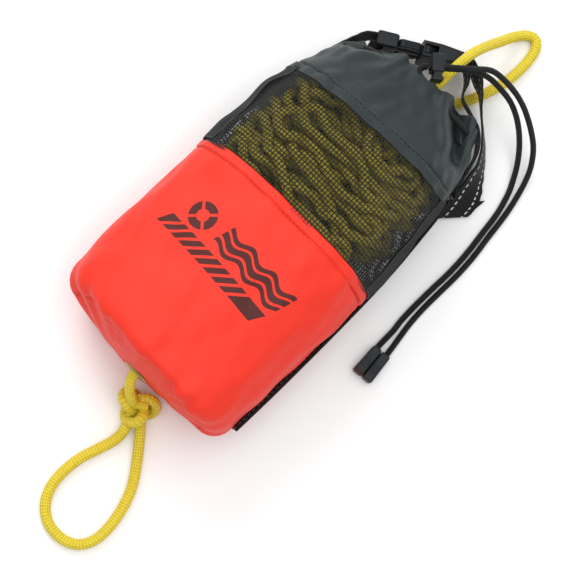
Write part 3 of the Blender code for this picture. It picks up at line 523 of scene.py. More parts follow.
# %% [markdown]
# ## Braid
# Floating rope and drawcord are plaited: strands cross in two slanting families. On a cord's
# own UV map one direction runs along it and the other round it, so two slanted sine waves,
# one each way, make the little plait marks. The cord's length sets how many repeat.

# %% Braid finish
def braid(name, light, dark, length, strands, lay, roughness, depth):
    """lay is how far along the cord one strand goes in one turn round it."""
    finish = new_finish(name, light, roughness)
    n = Nodes(finish)
    u, v = n.uv()
    plait = n.group(PLAIT, Turns=n.math("MULTIPLY", u, length / lay), Round=v, Strands=strands)
    worn = n.noise(300.0, 4.0)
    tone = n.math("MULTIPLY_ADD", worn, 0.5, n.math("MULTIPLY", plait, 0.75))
    n.link(n.mix(n.math("SUBTRACT", tone, 0.15), dark, light), n.shader.inputs["Base Color"])
    n.bump(n.math("ADD", plait, n.math("MULTIPLY", worn, 0.4)), 0.9, depth)
    return finish


ROPE_LIGHT, ROPE_DARK = (0.90, 0.76, 0.060), (0.56, 0.40, 0.015)
CORD_LIGHT, CORD_DARK = (0.013, 0.014, 0.015), (0.002, 0.002, 0.003)

# %% [markdown]
# ## The loops of rope
# The rope leaves the base through an eyelet, is tied in a knot and makes a hand loop. Its
# other end makes a loop that comes out of the mouth, over the buckle, and back in under the
# strap. Their routes are the solid model's.

# %% Rope routes
ON_GROUND = ROPE / 2 + 0.0002
PANEL_RIM_Y = BASE_Y - GAP - WALL
EYELET = Vector((0.0035, PANEL_RIM_Y - BASE_BULGE, 0.038))
AT_MOUTH = Vector((0.0, MOUTH_Y, 0.0))
MOUTH_KNOT, MOUTH_KNOT_SIZE = Vector((0.0080, 0.1200, 0.0300)), (0.0130, 0.0108, 0.0105)
BASE_KNOT, BASE_KNOT_SIZE = Vector((0.0180, BASE_Y - 0.0172, 0.0100)), (0.0130, 0.0125, 0.0097)

tail_route = [
    EYELET + Vector(p) for p in (
        (0.0, 0.016, 0.0), (0.0, 0.010, 0.0), (0.0, 0.004, 0.0), (0.0, -0.0015, 0.0),
        (0.0015, -0.0060, -0.0022), (0.0050, -0.0098, -0.0080), (0.0090, -0.0118, -0.0145),
        (0.0115, -0.0122, -0.0200),
    )
]
hand_loop = [
    (0.0215, -0.1215, 0.0060),
    (0.0226, -0.1300, ON_GROUND), (0.0193, -0.1422, ON_GROUND), (0.0158, -0.1530, ON_GROUND),
    (0.0143, -0.1640, ON_GROUND), (0.0147, -0.1740, ON_GROUND), (0.0176, -0.1828, ON_GROUND),
    (0.0225, -0.1890, ON_GROUND), (0.0292, -0.1930, ON_GROUND), (0.0378, -0.1943, ON_GROUND),
    (0.0460, -0.1926, ON_GROUND), (0.0516, -0.1885, ON_GROUND), (0.0552, -0.1820, ON_GROUND),
    (0.0563, -0.1730, ON_GROUND), (0.0552, -0.1628, ON_GROUND), (0.0528, -0.1532, ON_GROUND),
    (0.0494, -0.1448, ON_GROUND), (0.0450, -0.1376, ON_GROUND), (0.0385, -0.1290, 0.0040),
    (0.0330, -0.1222, 0.0056), (0.0280, -0.1165, 0.0080),
]
mouth_loop = [
    (0.0075, -0.0060, 0.0335), (0.0088, 0.0050, 0.0350), (0.0090, 0.0150, 0.0352),
    (0.0090, 0.0250, 0.0352), (0.0103, 0.0372, 0.0322), (0.0132, 0.0488, 0.0240),
    (0.0166, 0.0597, 0.0140), (0.0208, 0.0712, 0.0062), (0.0258, 0.0784, ON_GROUND),
    (0.0308, 0.0801, ON_GROUND), (0.0348, 0.0762, ON_GROUND), (0.0369, 0.0672, ON_GROUND),
    (0.0371, 0.0545, ON_GROUND), (0.0350, 0.0420, ON_GROUND), (0.0312, 0.0300, ON_GROUND),
    (0.0268, 0.0195, 0.0048), (0.0228, 0.0125, 0.0085), (0.0195, 0.0060, 0.0132),
    (0.0170, -0.0010, 0.0175), (0.0150, -0.0080, 0.0215),
]
mouth_loop = [AT_MOUTH + Vector(p) for p in mouth_loop]

# %% Rope pieces
def rope_piece(name, route):
    path = smooth_path(route, ROPE * 0.4)
    long = length_of(path)
    finish = braid(name + "_braid", ROPE_LIGHT, ROPE_DARK, long, 12, 0.022, 0.5, 0.0006)
    piece = cord_curve(name, path, ROPE, finish, sides=6)
    print(name, round(long * 1000), "mm")
    return piece, long


def rope_knot(name, centre, size, turn):
    """An overhand knot: the curve that goes three times round and crosses itself."""
    t = np.linspace(0, math.tau, 160)
    line = np.stack([
        np.sin(t) + 2 * np.sin(2 * t), np.cos(t) - 2 * np.cos(2 * t), -np.sin(3 * t)
    ], axis=1)
    line *= np.array(size) / np.abs(line).max(axis=0)
    rot = np.array(Matrix.Rotation(turn, 3, "Z"))
    line = line @ rot.T + np.array(centre)
    finish = braid(name + "_braid", ROPE_LIGHT, ROPE_DARK, length_of(line), 12, 0.022, 0.5, 0.0006)
    piece = cord_curve(name, evenly(line, ROPE * 0.3), ROPE, finish, sides=6)
    return piece


base_knot = rope_knot(
    "base_knot_rope", BASE_KNOT, [s - ROPE * 0.42 for s in BASE_KNOT_SIZE], math.radians(20)
)
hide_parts("bottom_knot")
tail_rope, tail_length = rope_piece("tail_rope", tail_route + [BASE_KNOT + Vector((0.004, 0.004, 0.006))])
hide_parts("rope_tail")
hand_rope, hand_length = rope_piece(
    "hand_loop_rope",
    [BASE_KNOT + Vector((-0.003, 0.001, -0.0035))] + hand_loop + [BASE_KNOT + Vector((0.003, 0.001, 0.001))],
)
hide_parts("bottom_loop")
mouth_rope, mouth_length = rope_piece(
    "mouth_loop_rope",
    [MOUTH_KNOT + Vector((0.001, 0.001, 0.002))] + mouth_loop + [MOUTH_KNOT + Vector((0.002, 0.0, -0.003))],
)
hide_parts("top_loop")

top_knot = rope_knot(
    "mouth_knot_rope", MOUTH_KNOT, [s - ROPE * 0.48 for s in MOUTH_KNOT_SIZE], math.radians(70)
)
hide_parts("top_knot")
STOPPER, STOPPER_SIZE = Vector((EYELET.x, -0.0673, EYELET.z)), (0.0100, 0.0088, 0.0100)
stopper = rope_knot(
    "stopper_knot_rope", STOPPER, [s - ROPE * 0.48 for s in STOPPER_SIZE], math.radians(0)
)
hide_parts("stopper_knot")

# %% [markdown]
# ## The stuffed rope
# Rope is pushed into the bag a handful at a time, so it lies in uneven layers across the bag.
# About 18 m of it starts as layers of runs, turned and pushed about a little. Then it is
# settled: again and again, each bit of rope is kept at its length, pushed off any other bit
# that it touches, and kept inside the cloth. Points are sorted along the bag, so only close
# neighbours are compared. The result shows through the net as real strands.

# %% Lay the stuffed rope
STEP = 0.0060
BUNDLE_LOW, BUNDLE_TOP = -0.0540, 0.1060
LAYER_STEP, RUN_STEP = 0.0069, 0.0112


def lay_rope():
    rng = np.random.default_rng(21)
    line = []
    level, y = 0, BUNDLE_LOW + 0.003
    while y < BUNDLE_TOP - 0.002:
        low, high = max(along(y, 3), 0.0) + 0.006, along(y, 4) - 0.006
        heights = np.arange(low + (level % 2) * RUN_STEP / 2, high, RUN_STEP)
        if level % 2:
            heights = heights[::-1]
        slope = rng.normal(-0.12, 0.16)
        for k, z in enumerate(heights):
            up = abs(z - (low + high) / 2) / ((high - low) / 2 + 0.004)
            half = (along(y, 1) - 0.006) * max(1 - up**SQUARENESS, 0.05) ** (1 / SQUARENESS)
            ends = (-half, half) if (k + level) % 2 else (half, -half)
            for s in np.linspace(0, 1, 9):
                x = ends[0] + (ends[1] - ends[0]) * s
                line.append((along(y, 2) + x * 0.97, y + slope * x, z))
        level += 1
        y += LAYER_STEP
    return evenly(np.array(line), STEP)


rope_line = lay_rope()
print("rope laid:", round(length_of(rope_line), 2), "m in", len(rope_line), "points")

# %% Settle the stuffed rope
def keep_inside(line, margin):
    y = np.clip(line[:, 1], BUNDLE_LOW, BUNDLE_TOP)
    table_y = np.linspace(BUNDLE_LOW - 0.02, BUNDLE_TOP + 0.02, 120)
    table = np.array([[along(v, c) for c in (1, 2, 3, 4)] for v in table_y])
    half, middle, low, high = (np.interp(y, table_y, table[:, c]) for c in range(4))
    margin = margin + 0.0012 * np.clip((y - 0.080) / 0.01, 0, 1)
    half = half - margin
    low, high = low + margin, high - margin
    centre, tall = (low + high) / 2, (high - low) / 2
    x, z = line[:, 0] - middle, line[:, 2] - centre
    out = (np.abs(x / half) ** SQUARENESS + np.abs(z / tall) ** SQUARENESS) ** (1 / SQUARENESS)
    shrink = np.where(out > 1, 1 / out, 1.0)
    return np.stack([middle + x * shrink, y, np.maximum(centre + z * shrink, margin)], axis=1)


def push_apart(line, apart):
    """Move touching bits of rope off each other, comparing neighbours along the bag."""
    order = np.argsort(line[:, 1])
    spots = line[order]
    move = np.zeros_like(spots)
    for k in range(1, len(spots)):
        close = spots[k:, 1] - spots[:-k, 1] < apart
        if not close.any():
            break
        a = np.nonzero(close)[0]
        b = a + k
        gap = spots[b] - spots[a]
        dist = np.sqrt((gap**2).sum(axis=1)) + 1e-9
        hit = (dist < apart) & (np.abs(order[a] - order[b]) > 2)
        if hit.any():
            a, b, gap, dist = a[hit], b[hit], gap[hit], dist[hit]
            push = gap * ((apart - dist) / dist / 2)[:, None]
            np.add.at(move, a, -push)
            np.add.at(move, b, push)
    moved = np.zeros_like(line)
    moved[order] = move
    return np.clip(moved, -0.002, 0.002)


def settle(line, rounds):
    rng = np.random.default_rng(5)
    way = np.arange(len(line)) * STEP
    for axis in range(3):
        size = (0.004, 0.006, 0.003)[axis]
        line[:, axis] += size * waves(way, np.zeros_like(way), 0.075, 30 + axis)
    for i in range(rounds):
        for _ in range(2):
            step = np.diff(line, axis=0)
            dist = np.linalg.norm(step, axis=1, keepdims=True)
            fix = step * (1 - STEP / dist) * 0.45
            line[:-1] += fix
            line[1:] -= fix
        wide = line[2:] - line[:-2]
        dist = np.linalg.norm(wide, axis=1, keepdims=True)
        fix = wide * np.minimum(1 - STEP * 1.85 / dist, 0) * 0.3
        line[:-2] += fix
        line[2:] -= fix
        line += push_apart(line, ROPE * 1.01) * 0.8
        line = keep_inside(line, ROPE / 2 + WALL + 0.0016)
    return line


rope_line = settle(rope_line, 170)
rope_path = smooth_path(rope_line, STEP / 2)
stuffed_length = length_of(rope_path)
# The stuffed rope is the same rope as the loops outside, but its two colours are darker: painted shade for
# rope lying inside the bag behind the net.
stuffed_rope_shaded_finish = braid(
    "stuffed_braid_painted_shade", (0.66, 0.55, 0.07), (0.24, 0.17, 0.010), stuffed_length, 12, 0.022, 0.55, 0.0006
)
stuffed_rope = cord_curve("stuffed_rope", rope_path, ROPE, stuffed_rope_shaded_finish, sides=2)
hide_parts("rope_bundle")
print("stuffed rope:", round(stuffed_length, 2), "m")

# %% [markdown]
# ## Stitches
# A sewn seam is a row of short threads pressed into the cloth. One small rounded stitch is
# made again at each place along a line, a little sunk into the cloth.

# %% Stitch helper
def stitch_row(name, line, outs, pitch, long, thick, finish, body="bag"):
    """Rounded stitches along a line of points. outs points out of the cloth at each."""
    way = np.concatenate([[0], np.cumsum(np.linalg.norm(np.diff(line, axis=0), axis=1))])
    shape = bmesh.new()
    for want in np.arange(pitch / 2, way[-1], pitch):
        spot = Vector([np.interp(want, way, line[:, k]) for k in range(3)])
        ahead = Vector([np.interp(min(want + 0.0005, way[-1]), way, line[:, k]) for k in range(3)])
        out = Vector([np.interp(want, way, outs[:, k]) for k in range(3)]).normalized()
        run = (ahead - spot).normalized() if (ahead - spot).length > 1e-6 else Vector((1, 0, 0))
        side = out.cross(run).normalized()
        turn = Matrix((run, side, out)).transposed().to_4x4()
        fit = Matrix.Translation(spot) @ turn @ Matrix.Diagonal((long / 2, thick / 2, thick / 2, 1))
        bmesh.ops.create_uvsphere(shape, u_segments=6, v_segments=4, radius=1.0, matrix=fit)
    mesh = bpy.data.meshes.new(name)
    shape.to_mesh(mesh)
    shape.free()
    return add_piece(name, mesh, finish, body)


THREAD_RED = new_finish("thread_red", (0.50, 0.030, 0.018), 0.6)
THREAD_BLACK = new_finish("thread_black", (0.010, 0.011, 0.012), 0.6)
for finish, fleck in ((THREAD_RED, 0.35), (THREAD_BLACK, 0.5)):
    n = Nodes(finish)
    base = tuple(n.shader.inputs["Base Color"].default_value)[:3]
    n.link(
        n.mix(n.noise(2500.0), tuple(c * (1 - fleck) for c in base), tuple(c * (1 + fleck) for c in base)),
        n.shader.inputs["Base Color"],
    )

# %% [markdown]
# ## Lower shell
# The red-orange lower half is one piece of coated pack cloth. It is filled tight, so it is
# nearly smooth, with long shallow waves and a few small creases by the base. Its top edge is
# turned under and sewn down, which makes a slightly thicker band above the stitches.

# %% Lower shell
SHELL_COLUMNS = 301
HEM_TURN = 0.0066
shares = np.linspace(0, 1, SHELL_COLUMNS)
shell_ys = np.concatenate([
    BASE_Y + BASE_ROUND_SIDE * np.array([0, 0.04, 0.12, 0.25, 0.42, 0.62, 0.8]),
    np.linspace(BASE_Y + BASE_ROUND_SIDE, HEM_Y - 0.0095, 60),
    np.linspace(HEM_Y - 0.009, HEM_Y - 0.0002, 16),
])
shell = cloth_points(shell_ys, shares)
out = outward(shell)
around = shares[None, :] * girth
height = shell_ys[:, None] + 0 * around
front = np.clip((shell[:, :, 2] - 0.006) / 0.02, 0, 1)
push = 0.0008 * waves(around, height * 0.6, 0.05, 3) + 0.0003 * waves(around, height, 0.018, 4)
near_base = np.clip(1 - (height - BASE_Y) / 0.030, 0, 1)
push += near_base * 0.0006 * waves(around, height * 0.25, 0.020, 7)
band = np.clip((height - (HEM_Y - HEM_TURN)) / 0.0008, 0, 1)
push += 0.0007 * band
groove = np.exp(-(((height - (HEM_Y - HEM_TURN)) / 0.0007) ** 2))
push -= 0.0006 * groove
edge = np.clip((HEM_Y - height) / 0.0012, 0, 1)
push -= 0.0007 * (1 - edge)
push -= 0.0005
push = push * front
shell = shell + out * push[:, :, None]
measures = np.stack([girth / 2 - around + 0 * height, height], axis=2)
lower_mesh = grid_mesh("lower_cloth", shell, measures, closed=True)
point_out(lower_mesh)

# %% [markdown]
# ## Orange cloth and its print
# The print is painted by the shader on the cloth's own map. It is a made-up mark: a bar with
# slanted notches, three wave crests over it and a life ring. Each shape is a signed distance,
# below zero inside it, so its edge stays sharp at any size.

# %% Orange cloth
ORANGE, ORANGE_DARK, PRINT = (0.91, 0.040, 0.017), (0.70, 0.020, 0.008), (0.044, 0.008, 0.006)
orange_cloth = nylon("orange_cloth", ORANGE, ORANGE_DARK, 0.52, 0.0007, 0.0)
PRINT_MIDDLE = (-0.0035, -0.0185)
PRINT_TURN = math.radians(-3.2)
BAR_LEVEL = -0.0112


def print_mask(n):
    """1 where the printed mark lies on the cloth, 0 elsewhere."""
    u, v = n.uv()
    x = n.math("SUBTRACT", u, PRINT_MIDDLE[0])
    y = n.math("SUBTRACT", v, PRINT_MIDDLE[1])
    c, s = math.cos(PRINT_TURN), math.sin(PRINT_TURN)
    a = n.math("ADD", n.math("MULTIPLY", x, c), n.math("MULTIPLY", y, s))
    b = n.math("SUBTRACT", n.math("MULTIPLY", y, c), n.math("MULTIPLY", x, s))

    def box(cx, cy, half_x, half_y, slant=0.0):
        across = n.math("SUBTRACT", n.math("SUBTRACT", a, cx), n.math("MULTIPLY", b, slant))
        dx = n.math("SUBTRACT", n.math("ABSOLUTE", across), half_x)
        dy = n.math("SUBTRACT", n.math("ABSOLUTE", n.math("SUBTRACT", b, cy)), half_y)
        return n.math("MAXIMUM", dx, dy)

    def both(p, q):
        return n.math("MAXIMUM", p, q)

    def either(p, q):
        return n.math("MINIMUM", p, q)

    def without(p, q):
        return n.math("MAXIMUM", p, n.math("MULTIPLY", q, -1.0))

    mark = box(0.0, BAR_LEVEL, 0.0400, 0.0046, 0.5)
    for k in range(9):
        mark = without(mark, box(-0.0280 + k * 0.0070, BAR_LEVEL, 0.0012, 0.0060, 1.0))
    crest = n.math("MULTIPLY", n.math("SINE", n.math("MULTIPLY", a, math.tau / 0.0180)), 0.0019)
    for level, half in ((0.0098, 0.0015), (0.0046, 0.0021), (-0.0006, 0.0014)):
        wave = n.math("SUBTRACT", n.math("ABSOLUTE", n.math(
            "SUBTRACT", n.math("SUBTRACT", b, level), crest)), half)
        mark = either(mark, both(wave, box(0.0115, level, 0.0270, 0.0080, 0.25)))
    ring_x = n.math("ADD", a, 0.0300)
    ring_y = n.math("SUBTRACT", b, 0.0045)
    reach = n.math("SQRT", n.math(
        "ADD", n.math("MULTIPLY", ring_x, ring_x), n.math("MULTIPLY", ring_y, ring_y)))
    ring = n.math("SUBTRACT", n.math("ABSOLUTE", n.math("SUBTRACT", reach, 0.0064)), 0.0025)
    for p, q in ((1, 1), (1, -1)):
        slash = n.math("SUBTRACT", n.math("ABSOLUTE", n.math(
            "ADD", n.math("MULTIPLY", ring_x, p), n.math("MULTIPLY", ring_y, q))), 0.0012)
        ring = without(ring, slash)
    mark = either(mark, ring)
    return n.math("LESS_THAN", mark, 0.0)


n = Nodes(orange_cloth)
cloth_colour = n.shader.inputs["Base Color"].links[0].from_socket
n.link(
    n.mix(n.math("MULTIPLY", print_mask(n), 0.96), cloth_colour, PRINT), n.shader.inputs["Base Color"]
)
lower_cloth = add_piece("lower_cloth", lower_mesh, orange_cloth)
thicken(lower_cloth, 0.0005)
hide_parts("lower_shell")

# %% Lower shell stitches
def on_cloth(y, lift, count=240):
    """A line right round the bag at y, lifted off the cloth, with the directions out of it."""
    points = cloth_points([y - 0.0005, y, y + 0.0005], np.linspace(0, 1, count))
    outs = outward(points)[1]
    line = points[1] + outs * lift
    line[:, 2] = np.maximum(line[:, 2], 0.0002)
    return line, outs


line, outs = on_cloth(HEM_Y - HEM_TURN, -0.0007)
stitch_row("hem_stitches", line, outs, 0.0028, 0.0023, 0.0006, THREAD_RED)

# %% [markdown]
# ## Base panel
# The base is a separate oval of the same cloth, sewn in with a turned seam, so a soft ridge
# runs round it. It bows out a little with the weight of rope behind it.

# %% Base panel
rim = shell[0]
base_rows = []
for share in np.linspace(0.0, 1.0, 36):
    angle = -math.pi / 2 + math.tau * shares
    hole = np.stack([
        EYELET.x + 0.0050 * np.cos(angle), 0 * angle + EYELET.y, EYELET.z + 0.0050 * np.sin(angle)
    ], axis=1)
    row = hole + (rim - hole) * share
    row[:, 1] = EYELET.y + (rim[:, 1] - EYELET.y) * share**2.4
    row[:, 1] += 0.0005 * min(4 * share, 4 * (1 - share), 1) * waves(row[:, 0], row[:, 2], 0.03, 9)
    base_rows.append(row)
base_points = np.array(base_rows)
base_measures = np.stack([base_points[:, :, 0], base_points[:, :, 2] - 0.3], axis=2)
base_mesh = grid_mesh("base_cloth", base_points, base_measures, closed=True)
shape = bmesh.new()
shape.from_mesh(base_mesh)
if sum(f.normal.y for f in shape.faces) > 0:
    bmesh.ops.reverse_faces(shape, faces=shape.faces)
shape.to_mesh(base_mesh)
shape.free()
base_finish = nylon("base_orange", ORANGE, ORANGE_DARK, 0.52, 0.0007, 0.0)
base_cloth = add_piece("base_cloth", base_mesh, base_finish)
thicken(base_cloth, 0.0005)
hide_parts("base_panel")

# %% [markdown]
# ## Net sleeve
# The middle of the bag is open square netting. A grid with one cell for each hole is laid
# on the outline, and bmesh's wireframe operator leaves a thread along each edge.

# %% Net sleeve
NET_PITCH, NET_THREAD = 0.00235, 0.00100


def net(name, ys, shares, lift, thread, seed, closed):
    points = cloth_points(ys, shares)
    out = outward(points, closed)
    a = shares[None, :] * girth + 0 * ys[:, None]
    b = ys[:, None] + 0 * a
    inside = np.clip((b - HEM_Y) / 0.012, 0, 1) * np.clip((SEAM_Y - b) / 0.012, 0, 1)
    loose = lift - 0.0006 + inside * 0.0008 * waves(a, b, 0.035, seed)
    loose = loose * np.clip((points[:, :, 2] - 0.004) / 0.02, 0, 1)
    points = points + out * loose[:, :, None]
    mesh = grid_mesh(name, points, closed=closed)
    point_out(mesh)
    shape = bmesh.new()
    shape.from_mesh(mesh)
    bmesh.ops.wireframe(
        shape, faces=shape.faces, thickness=thread, offset=0.0, use_replace=True,
        use_boundary=True, use_even_offset=False, use_crease=False, crease_weight=0.0,
        use_relative_offset=False, material_offset=0,
    )
    shape.to_mesh(mesh)
    shape.free()
    print(name, len(mesh.polygons), "faces")
    return mesh


net_finish = new_finish("net_black", (0.016, 0.018, 0.018), 0.55)
n = Nodes(net_finish)
n.link(n.mix(n.noise(1500.0), (0.006, 0.007, 0.007), (0.045, 0.048, 0.046)), n.shader.inputs["Base Color"])
holes_up = round((SEAM_Y - HEM_Y + 0.004) / NET_PITCH)
holes_round = round(girth / NET_PITCH)
net_mesh = net(
    "net_cloth", np.linspace(HEM_Y - 0.002, SEAM_Y + 0.002, holes_up + 1),
    np.linspace(0, 1, holes_round + 1), 0.0, NET_THREAD, 12, True,
)
net_cloth = add_piece("net_cloth", net_mesh, net_finish, smooth=False)
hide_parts("mesh_sleeve")
for name, middle, seed in (("net_fold_left", 0.735, 15), ("net_fold_right", 0.262, 16)):
    fold_shares = middle + np.linspace(-0.045, 0.045, 19)
    fold_mesh = net(
        name, np.linspace(HEM_Y, SEAM_Y, round((SEAM_Y - HEM_Y) / (NET_PITCH * 0.82)) + 1),
        fold_shares, 0.0016, NET_THREAD * 1.15, seed, False,
    )
    fold = add_piece(name, fold_mesh, net_finish, smooth=False)

# %% [markdown]
# ## Collar
# The slate collar is gathered at the mouth by a cord in its hem. Its cloth has to lose a
# third of its width there, so it throws folds that grow towards the mouth. Most are low;
# the deepest is a dent by the right shoulder, ending in a round bowl, and a smaller one runs
# beside the left shoulder. At the mouth the cloth turns over the cord and goes back inside.

# %% Collar helpers
COLLAR_COLUMNS = 361
SEAM_BAND = 0.0050
LOWER_LIP = SEAM_Y - 0.0022


def dent(points, start, end, width, depth):
    """A valley in the front, from a shallow start to a deep end, pressed straight down."""
    a, b = np.array(start), np.array(end)
    spot = points[:, :, :2] - a
    run = np.clip((spot @ (b - a)) / ((b - a) @ (b - a)), 0, 1)
    away = np.linalg.norm(spot - run[:, :, None] * (b - a), axis=2)
    middle = np.array([(along(y, 3) + along(y, 4)) / 2 for y in points[:, 0, 1]])[:, None]
    front = np.clip((points[:, :, 2] - middle) / 0.008, 0, 1)
    return depth * (0.62 + 0.38 * run) * np.exp(-((away / width) ** 2)) * front


def near(value, middle, width):
    return np.exp(-(((value - middle) / width) ** 2))


# %% Collar cloth
shares = np.linspace(0, 1, COLLAR_COLUMNS)
outer_ys = np.concatenate([
    np.linspace(LOWER_LIP, SEAM_Y + SEAM_BAND, 18), np.linspace(SEAM_Y + SEAM_BAND + 0.0006, MOUTH_Y, 64)
])
flat = cloth_points(outer_ys, shares)
out = outward(flat)
around = shares[None, :] * girth + 0 * outer_ys[:, None]
height = outer_ys[:, None] + 0 * around
rise = np.clip((height - SEAM_Y - 0.004) / (MOUTH_Y - SEAM_Y - 0.004), 0, 1)
x_of = flat[:, :, 0]
on_front = np.clip((flat[:, :, 2] - 0.028) / 0.014, 0, 1)
uneven = shares + 0.010 * np.sin(math.tau * 3 * shares + 0.7) + 0.006 * np.sin(math.tau * 7 * shares)
gathers = np.sin(math.tau * 19 * uneven)[None, :] + 0.6 * np.sin(math.tau * 31 * uneven + 1.3)[None, :]
push = gathers * rise**1.8 * (0.0013 - 0.0008 * on_front)
push += 0.0009 * waves(around, height * 0.7, 0.045, 31) + 0.0004 * waves(around, height, 0.016, 32)
push += 0.0010 * rise * near(x_of, -0.004, 0.010) * on_front
push += 0.0026 * rise**3 * near(x_of, 0.001, 0.011) * on_front
push -= 0.0013 * near(height, SEAM_Y + SEAM_BAND, 0.0009)
push += 0.0006 * (height < SEAM_Y + SEAM_BAND)
push = push * np.clip((flat[:, :, 2] - 0.005) / 0.012, 0, 1)
collar = flat + out * push[:, :, None]
right_dent = dent(flat, (0.0480, 0.1235), (0.0290, 0.1425), 0.0054, 0.0210)
left_dent = dent(flat, (-0.0420, 0.1290), (-0.0250, 0.1400), 0.0030, 0.0080)
collar[:, :, 2] -= right_dent + left_dent
beside = dent(flat, (0.0370, 0.1190), (0.0160, 0.1420), 0.0040, 0.0034)
collar[:, :, 2] += beside
edge_move = 0.0030 * near(x_of, -0.017, 0.006) - 0.0055 * near(x_of, -0.034, 0.008)
edge_move += 0.0016 * near(x_of, 0.021, 0.006) - 0.0020 * near(x_of, 0.003, 0.007)
edge_move += 0.0030 * near(x_of, 0.038, 0.006)
collar[:, :, 1] += edge_move * rise**2.2 * on_front
ear = near(height, MOUTH_Y - 0.010, 0.013) * np.clip((-x_of - 0.022) / 0.014, 0, 1)
collar[:, :, 0] -= 0.0052 * ear * np.clip((flat[:, :, 2] - 0.026) / 0.006, 0, 1)

edge_row, edge_out = collar[-1], out[-1]
slot = near(x_of[-1], 0.001, 0.010) * on_front[-1]
hem_rows = []
for k in range(1, 9):
    angle = math.pi * k / 8
    deep = 0.0016 - 0.0010 * slot
    row = edge_row - edge_out * (deep * (1 - math.cos(angle)))[:, None]
    row[:, 1] += 0.0010 * math.sin(angle)
    hem_rows.append(row)
for k in range(1, 15):
    back = HEM_WIDTH * k / 14 * (1 - 0.93 * slot)
    thick = 0.0032 - 0.0020 * slot + 0.0030 * math.sin(math.pi * k / 14) * (1 - slot)
    row = np.stack([
        np.array([np.interp(y, outer_ys, collar[:, i, c]) for i, y in enumerate(MOUTH_Y - back)])
        for c in range(3)
    ], axis=1)
    hem_rows.append(row - edge_out * thick[:, None])
collar = np.concatenate([collar, np.array(hem_rows)])
collar[:, :, 2] = np.maximum(collar[:, :, 2], 0.0009)
collar_up = np.concatenate([outer_ys, MOUTH_Y + 0.0006 * np.arange(1, len(hem_rows) + 1)])
measures = np.stack([
    (girth / 2 - shares * girth)[None, :] + 0 * collar_up[:, None], collar_up[:, None] + 0 * shares[None, :]
], axis=2)
collar_mesh = grid_mesh("collar_cloth", collar, measures, closed=True)
point_out(collar_mesh)
SLATE, SLATE_DARK = (0.026, 0.037, 0.038), (0.012, 0.018, 0.019)
slate_cloth = nylon("slate_cloth", SLATE, SLATE_DARK, 0.50, 0.0008, 0.05)
collar_cloth = add_piece("collar_cloth", collar_mesh, slate_cloth)
thicken(collar_cloth, 0.0006)
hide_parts("collar", "hem_channel")
seam_row = int(np.argmin(np.abs(outer_ys - SEAM_Y - SEAM_BAND)))
seam_line = collar[seam_row] + out[seam_row] * 0.0006
stitch_row("collar_stitches", seam_line, out[seam_row], 0.0034, 0.0024, 0.0009, THREAD_BLACK)
print("collar faces", len(collar_mesh.polygons))

# %% [markdown]
# ## Webbing
# Webbing is woven flat with a ribbed face. Reflective threads run down it in two broken
# lines, which the shader draws from the distance along and across the strap. The straps are
# too stiff and narrow for cloth simulation, so each is a grid that follows a route, with its
# width turned a little at every step.

# %% Webbing finish and ribbon
def webbing_finish(name, reflective):
    finish = new_finish(name, (0.012, 0.013, 0.014), 0.6, sheen=0.04)
    n = Nodes(finish)
    n.shader.inputs["Specular IOR Level"].default_value = 0.15
    across, run = n.uv()
    weave = n.group(WEAVE, Across=across, Along=run, Pitch=0.00125)
    rough = n.noise(1800.0, 2.0)
    tone = n.math("ADD", n.math("MULTIPLY", weave, 0.5), n.math("MULTIPLY", rough, 0.5))
    colour = n.mix(tone, (0.003, 0.003, 0.004), (0.016, 0.017, 0.018))
    if reflective:
        row = n.math("LESS_THAN", n.math(
            "ABSOLUTE", n.math("SUBTRACT", n.math("ABSOLUTE", across), 0.0058)), 0.00052)
        dash = n.math("GREATER_THAN", n.math("SINE", n.math("MULTIPLY", run, math.tau / 0.0038)), -0.1)
        mask = n.math("MULTIPLY", row, dash)
        colour = n.mix(mask, colour, (0.55, 0.57, 0.60))
        n.link(n.math("MULTIPLY_ADD", mask, -0.25, 0.6), n.shader.inputs["Roughness"])
    n.link(colour, n.shader.inputs["Base Color"])
    n.bump(weave, 0.7, 0.0005)
    return finish


REFLECTIVE = webbing_finish("webbing_reflective", True)
PLAIN_WEBBING = webbing_finish("webbing_plain", False)


def strap(name, route, finish, width=WEBBING, step=0.0008, body="bag"):
    """A webbing strap: the route gives its middle line and the direction of its width."""
    line = np.array([tuple(p) for p, _ in route])
    turns = [Vector(w).normalized() for _, w in route]
    spans = np.concatenate([[0], np.cumsum(np.linalg.norm(np.diff(line, axis=0), axis=1))])
    path = smooth_path(line, step)
    runs = np.linspace(0, spans[-1], len(path))
    rows, measures = [], []
    across = np.linspace(-width / 2, width / 2, 17)
    for spot, run in zip(path, runs):
        k = min(int(np.searchsorted(spans, run, side="right")) - 1, len(spans) - 2)
        t = min((run - spans[k]) / (spans[k + 1] - spans[k]), 1.0)
        way = np.array(turns[k].lerp(turns[k + 1], t * t * (3 - 2 * t)).normalized())
        rows.append(spot + way * across[:, None])
        measures.append(np.stack([across, 0 * across + run], axis=1))
    mesh = grid_mesh(name, np.array(rows), np.array(measures))
    piece = add_piece(name, mesh, finish, body)
    thicken(piece, WEBBING_THICKNESS - 0.0001, 0.0)
    soft = piece.modifiers.new("edge", "BEVEL")
    soft.width, soft.segments, soft.limit_method = 0.0003, 2, "ANGLE"
    return piece, length_of(path)


# %% Straps through the buckle

SIDE_HEIGHT = 0.027
BUCKLE_WIDTH, BUCKLE_THICKNESS = 0.0266, 0.0104
BUCKLE_BAR, BUCKLE_BAR_THICKNESS = 0.0023, 0.0026
BUCKLE = AT_MOUTH + Vector((-0.0136, 0.0184, BUCKLE_WIDTH / 2 + 0.0030))
BUCKLE_FRAME = Matrix.Translation(BUCKLE) @ Matrix.Rotation(math.radians(32), 4, "Z")
SOCKET_END, PLUG_START = 0.0270, -0.0280
BAR_TURN = BUCKLE_BAR_THICKNESS / 2 + GAP + WEBBING_THICKNESS / 2 + 0.0002


